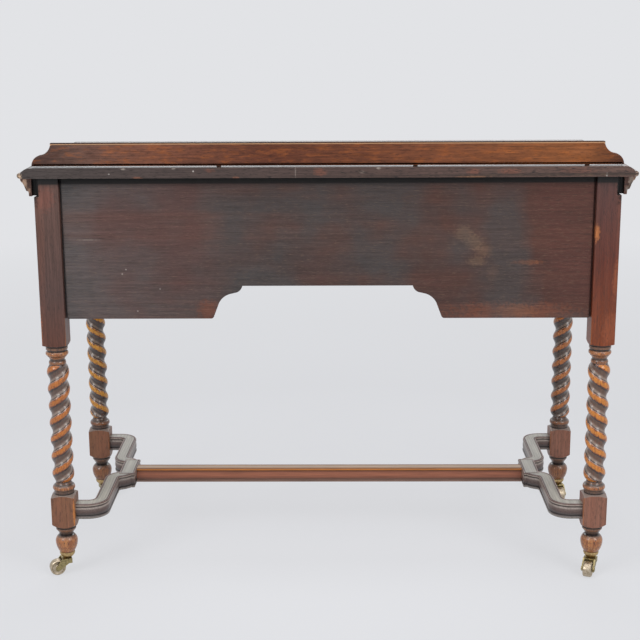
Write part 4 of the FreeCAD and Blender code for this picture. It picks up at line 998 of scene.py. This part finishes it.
class DESK_OT_stage(bpy.types.Operator):
    """Floor, soft lamps, even sky and the camera"""
    bl_idname = "desk.stage"
    bl_label = "Build Stage"

    def execute(self, context):
        stage = context.scene.desk_stage
        self.floor(stage)
        self.sky(context, stage)
        aim = (0, 0.1, 0.45)
        self.lamp("soft_lamp_right", (2, 2.3, 2), aim, (1.2, 1.6), stage.soft_light)
        self.lamp("soft_lamp_left", (-2, 2.3, 2), aim, (1.2, 1.6), stage.soft_light)
        self.lamp("overhead_lamp", (0, 0.5, 2.5), (0, 0, 0.5), (2.4, 1.6), stage.overhead_light)
        self.lamp("fill_lamp", (0, -2.6, 2.1), (0, 0, 0.45), (2.6, 1.2), stage.fill_light)
        self.camera(context, stage)
        return {"FINISHED"}

    def seen(self, node):
        """1 for the rays that show a thing to the eye, 0 for those that only carry its light."""
        share = 0
        for ray in ("Camera", "Glossy", "Transmission"):
            share = node("Math", share, node("LightPath", out=f"Is {ray} Ray"), operation="MAXIMUM")
        return share

    def floor(self, stage):
        """A square floor that shows mostly its own colour to the camera, so it has no horizon, with a
        broad ring of painted shade round the desk.
        """
        reach = 120
        mesh = bpy.data.meshes.new("floor")
        corners = [(x, y, 0) for x, y in rectangle((-reach, -reach), (reach, reach)).tolist()]
        mesh.from_pydata(corners, [], [[0, 1, 2, 3]])
        floor = bpy.data.objects.new("floor", mesh)
        bpy.context.scene.collection.objects.link(floor)
        node = new_material("painted_studio_floor")
        place = node("TexCoord", out="Object")
        away = node("VectorMath", place, out=1, operation="LENGTH")
        glow = node("MapRange", away, 0.5, 3.5, 0.76, 1)
        share = node("Math", self.seen(node), glow, operation="MULTIPLY")
        # Painted shade: the floor's colour darkened by up to 7 % in a broad ring from about 0.3 to 3.6
        # m round the desk
        painted_shade_ring = node("MapRange", away, 0, 4)
        painted_shade_ring = node("ValToRGB", painted_shade_ring, stops={0.08: 1, 0.26: 0.93, 0.45: 0.94, 0.9: 1})
        tone = node("Mix", 1, stage.floor, painted_shade_ring, blend_type="MULTIPLY")
        paint = node("BsdfDiffuse", Color=tone)
        glow = node("Emission", Color=tone, Strength=1)
        mixed = node("MixShader", share, paint, glow)
        node("OutputMaterial", Surface=mixed)
        mesh.materials.append(node.args[0])

    def sky(self, context, stage):
        world = bpy.data.worlds.new("studio")
        context.scene.world = world
        node = shading(world)
        even = node("Background", Color="#f2f5ff", Strength=stage.sky)
        shown = node("Background", Color=stage.floor, Strength=1)
        mixed = node("MixShader", self.seen(node), even, shown)
        node("OutputWorld", Surface=mixed)

    def lamp(self, name, place, aim, size, power):
        data = bpy.data.lights.new(name, "AREA")
        data.shape = "RECTANGLE"
        data.size, data.size_y = size
        data.energy = power
        lamp = bpy.data.objects.new(name, data)
        lamp.location = place
        lamp.rotation_euler = (Vector(aim) - Vector(place)).to_track_quat("-Z", "Y").to_euler()
        bpy.context.scene.collection.objects.link(lamp)

    def camera(self, context, stage):
        """Behind the desk, a little above it, looking down 13.5 degrees."""
        yaw, pitch, roll = 0.0123, 0.2351, -0.0053
        ahead = Vector((math.sin(yaw) * math.cos(pitch), -math.cos(yaw) * math.cos(pitch),
                        -math.sin(pitch)))
        right = ahead.cross(Vector((0, 0, 1))).normalized()
        up = right.cross(ahead)
        turned = right * math.cos(roll) + up * math.sin(roll)
        raised = up * math.cos(roll) - right * math.sin(roll)
        data = bpy.data.cameras.new("camera")
        data.sensor_width = 36
        data.lens = stage.focal_length
        camera = bpy.data.objects.new("camera", data)
        pose = Matrix((turned, raised, -ahead)).transposed().to_4x4()
        pose.translation = (-0.0148, 2.5132, 1.0377)
        camera.matrix_world = pose
        context.scene.collection.objects.link(camera)
        context.scene.camera = camera
        context.scene.view_settings.view_transform = "Standard"


class DESK_OT_top(bpy.types.Operator):
    """Top board with its carved edge, the gallery and its dowels"""
    bl_idname = "desk.top"
    bl_label = "Build Top"

    def execute(self, context):
        wood, carving = context.scene.desk_wood, context.scene.desk_carving
        shell, zones = top_board_shell(carving)
        finishes = [slab_wood(wood, "dull_oak_edge", 0.2, 0.25),
                    slab_wood(wood, "polished_oak_top", 0.5, 0.16)]
        piece("desk_top", shell, finishes, stands_for="top_board", face_material=zones, sharp=40)
        piece("gallery", board(gallery_outline(), 211.7, 225.7, 1, 1.6),
              [gallery_wood(wood)], stands_for="gallery_board")
        dowel = plain_wood(wood, "bare_oak_dowel", "Z", "#3a2a22", "#6a4a38", 0.6, 0)
        dress(["gallery_dowels"], dowel)
        return {"FINISHED"}


class DESK_OT_mouldings(bpy.types.Operator):
    """Carved mouldings under the overhang of the top"""
    bl_idname = "desk.mouldings"
    bl_label = "Build Mouldings"

    def execute(self, context):
        wood, carving = context.scene.desk_wood, context.scene.desk_carving
        finish = carved_wood(wood)
        face_x, face_y = leg_x + post_half, front_y - post_half
        rear_end = 209.7
        whole, stub = moulding_section(), moulding_section(0.24)
        notch = rear_end - 10
        for side, name in ((1, "right_top_moulding"), (-1, "left_top_moulding")):
            def place(out, along, z):
                return side * (face_x + out), along, z

            run = moulding_shell(carving, whole, face_y, notch, 1, 0, place)
            end = moulding_shell(carving, stub, notch - 0.6, rear_end, 0, 0, place)
            backing = block((side * 499.8, face_y + 8, moulding_low), (side * 508.4, notch, slab_low))
            # The whole backing is painted near-black: painted shade in the deep notch behind the
            # moulding's end
            backing[2]["dirt"] = np.ones(len(backing[0]))
            piece("carved_" + name, joined([run, end, backing]), [finish], stands_for=name, sharp=40)
        run = moulding_shell(carving, whole, -face_x, face_x, 1, 1,
                             lambda out, along, z: (along, face_y - out, z))
        piece("carved_front_top_moulding", run, [finish], stands_for="front_top_moulding", sharp=40)
        return {"FINISHED"}


class DESK_OT_legs(bpy.types.Operator):
    """Four legs: square post, turned beads, barley twist, square block and vase foot"""
    bl_idname = "desk.legs"
    bl_label = "Build Legs"

    def execute(self, context):
        wood, settings = context.scene.desk_wood, context.scene.desk_legs
        turning, post = turned_wood(wood), post_wood(wood)
        # Each leg's twist tints: stripe, stripe edge, the hollow's dark stain with painted shade beside
        # the stripes, and the painted sheen in the middle of the hollow
        palette = {"rear_right": ("#b96a1e", "#6c2e0e", "#281b16", "#5c463a"),
                   "rear_left": ("#cc7c22", "#7c340e", "#261a14", "#604636"),
                   "front_right": ("#cc8a1c", "#70340c", "#16100c", "#3c2e26"),
                   "front_left": ("#b26826", "#682c0e", "#18110d", "#403228")}
        for name, tints in palette.items():
            x = leg_x if name.endswith("right") else -leg_x
            y = rear_y if name.startswith("rear") else front_y
            hand = (1 if x > 0 else -1) * (1 if y > 0 else -1)
            shell, zones = leg_shell(settings, x, y, hand, y > 0)
            twist = twist_wood(wood, "worn_oak_twist_" + name, *tints)
            piece("turned_" + name + "_leg", shell, [turning, post, twist],
                  stands_for=name + "_leg", face_material=zones, sharp=38)
        return {"FINISHED"}


class DESK_OT_case(bpy.types.Operator):
    """Back panel with the shaped kneehole, and the finish of the boards that stay as they are"""
    bl_idname = "desk.case"
    bl_label = "Build Case"

    def execute(self, context):
        wood = context.scene.desk_wood
        low_y, high_y = 202.7, 214.7
        shells = [board(self.outline(), low_y, high_y, 1, 0.8)]
        for side in (1, -1):
            shells.append(block((side * 460.4, low_y, case_low), (side * 473, low_y + 6, slab_low)))
        piece("back_board", joined(shells), [panel_wood(wood)], stands_for="back_panel")
        polished = plain_wood(wood, "polished_oak_board", "X", "#3a241c", "#6e4430", 0.4, 0.35)
        upright = plain_wood(wood, "polished_oak_side", "Y", "#3a241c", "#6e4430", 0.4, 0.35)
        inside = plain_wood(wood, "unpolished_oak", "Y", "#5a4434", "#8a6c50", 0.7, 0)
        dress(["front_top_rail", "left_mid_rail", "right_mid_rail", "left_bottom_rail",
               "right_bottom_rail", "kneehole_apron"], polished)
        dress(["left_side_panel", "right_side_panel", "left_partition", "right_partition"], upright)
        dress(["drawer_runners", "drawer_kickers", "glue_blocks"], inside)
        return {"FINISHED"}

    def outline(self):
        """The panel's outline: level top, square upper corners, and the shaped opening below."""
        opening = shares([(1, 0), (0.983, 0.014, 0.972, 0.061), (0.927, 0.475),
                          (0.881, 0.668, 0.814, 0.766), (0.773, 0.800), (0.744, 0.869, 0.725, 1)],
                         207, case_low, 59)
        panel_half = 461.4
        right = profile([(panel_half, slab_low), (panel_half, case_low)] + opening, count=10)
        return mirrored(right)


class DESK_OT_stretchers(bpy.types.Operator):
    """Two curved end stretchers with their middle blocks, and the long stretcher between them"""
    bl_idname = "desk.stretchers"
    bl_label = "Build Stretchers"

    def execute(self, context):
        wood = context.scene.desk_wood
        # In the stop tables the pale lines along the beads are painted highlights, the near-black lines
        # in the grooves painted shade, and the pale tops painted reflection
        finish = stretcher_wood(
            wood, "worn_oak_end_stretcher", "Y",
            {0: "#2c2624", 0.06: "#958c84", 0.15: "#645a56", 0.2: "#1e1918", 0.28: "#504846",
             0.45: "#5a4843", 0.62: "#6c5c56", 0.72: "#a69a90", 0.77: "#867870", 0.8: "#1e1816",
             0.86: "#4e403a", 0.92: "#aea296", 0.96: "#6e5850"},
            {0: "#a5a296", 0.3: "#aaa69a", 0.36: "#7e776c", 0.42: "#a8a498", 0.56: "#a39f94",
             0.64: "#8c847a", 0.70: "#5a4842", 0.76: "#2c211c", 0.80: "#7c645c", 0.86: "#a08a82",
             0.93: "#54362f", 1: "#4e322c"})
        long_finish = stretcher_wood(
            wood, "worn_oak_long_stretcher", "X",
            {0: "#8a6a5c", 0.08: "#84685a", 0.15: "#785a4c", 0.2: "#6c5044", 0.3: "#84503c",
             0.5: "#a06248", 0.66: "#9c6048", 0.74: "#7e4c38", 0.8: "#5c3620", 0.86: "#965a2c",
             0.92: "#c67a34", 0.96: "#c48446"},
            {0: "#ae9072", 0.3: "#ac8862", 0.55: "#a67644", 0.70: "#9c6a3a", 0.76: "#5a3a22",
             0.84: "#8a5c3a", 1: "#6e4a34"})
        for side, name in ((1, "right_end_stretcher"), (-1, "left_end_stretcher")):
            path, heading = end_path(side)
            middle = middle_block((side * 379.9, mid_y - 42, 110.7), (side * 411.2, mid_y + 42, 139.3))
            piece("moulded_" + name, joined([swept(path, heading, end_width), middle]), [finish],
                  stands_for=name, sharp=30)
        ends = np.array([(-380.2, mid_y), (380.2, mid_y)])
        piece("moulded_long_stretcher", swept(ends, np.zeros(2), long_width), [long_finish],
              stands_for="long_stretcher", sharp=30)
        return {"FINISHED"}


class DESK_OT_drawers(bpy.types.Operator):
    """Finish of the fronts and boxes of the five drawers"""
    bl_idname = "desk.drawers"
    bl_label = "Finish Drawers"

    def execute(self, context):
        wood = context.scene.desk_wood
        names = [body for body in frame["bodies"] if body.endswith("_drawer")]
        fronts = plain_wood(wood, "polished_oak_drawer", "X", "#3d261d", "#7a4a32", 0.36, 0.45)
        lining = plain_wood(wood, "oak_drawer_lining", "Y", "#8a6c4c", "#bb9a72", 0.7, 0)
        dress([name + "_front" for name in names], fronts)
        dress([name + "_box" for name in names], lining)
        return {"FINISHED"}


class DESK_OT_brass(bpy.types.Operator):
    """Finish of the handles and the casters, whose cast edges are softened"""
    bl_idname = "desk.brass"
    bl_label = "Finish Brass"

    def execute(self, context):
        brass = context.scene.desk_brass
        cast = aged_brass("aged_cast_brass", brass.brass, brass.tarnish, 0.55)
        green = aged_brass("tarnished_cast_brass", "#a89a70", brass.tarnish, 0.85)
        tread = aged_brass("scuffed_brass_tread", "#c3b49e", "#8a7c62", 0.6)
        for name, node in frame["nodes"].items():
            if not ("caster" in name or "handle" in name or name.endswith("bail")):
                continue
            horn = name.endswith("horn") or name.endswith("axle")
            dress([name], green if horn else tread if name.endswith("wheel") else cast)
            weld = node.modifiers.new("weld", "WELD")
            weld.merge_threshold = 0.01 * MM
            soft = node.modifiers.new("soft_edges", "BEVEL")
            soft.width, soft.segments, soft.limit_method = 0.5 * MM, 2, "ANGLE"
            soft.angle_limit = math.radians(35)
        return {"FINISHED"}


class DESK_PT_panel(bpy.types.Panel):
    """Settings and steps of the desk"""
    bl_idname = "DESK_PT_panel"
    bl_label = "Writing Desk"
    bl_space_type = "VIEW_3D"
    bl_region_type = "UI"
    bl_category = "Desk"

    def draw(self, context):
        for group in groups:
            settings = getattr(context.scene, group)
            box = self.layout.box()
            for name in settings.__annotations__:
                box.prop(settings, name)
        for step in steps:
            self.layout.operator(step.bl_idname)


groups = {"desk_stage": DeskStageSettings, "desk_wood": DeskWoodSettings, "desk_legs": DeskLegSettings,
          "desk_carving": DeskCarvingSettings, "desk_brass": DeskBrassSettings}
steps = (DESK_OT_stage, DESK_OT_top, DESK_OT_mouldings, DESK_OT_legs, DESK_OT_case, DESK_OT_stretchers,
         DESK_OT_drawers, DESK_OT_brass)
classes = (*groups.values(), *steps, DESK_PT_panel)


def register():
    for each in classes:
        bpy.utils.register_class(each)
    for name, group in groups.items():
        setattr(bpy.types.Scene, name, PointerProperty(type=group))


def unregister():
    for name in groups:
        delattr(bpy.types.Scene, name)
    for each in reversed(classes):
        bpy.utils.unregister_class(each)


def main():
    register()
    bpy.ops.desk.stage()
    bpy.ops.desk.top()
    bpy.ops.desk.mouldings()
    bpy.ops.desk.legs()
    bpy.ops.desk.case()
    bpy.ops.desk.stretchers()
    bpy.ops.desk.drawers()
    bpy.ops.desk.brass()


if __name__ == "__main__":
    main()
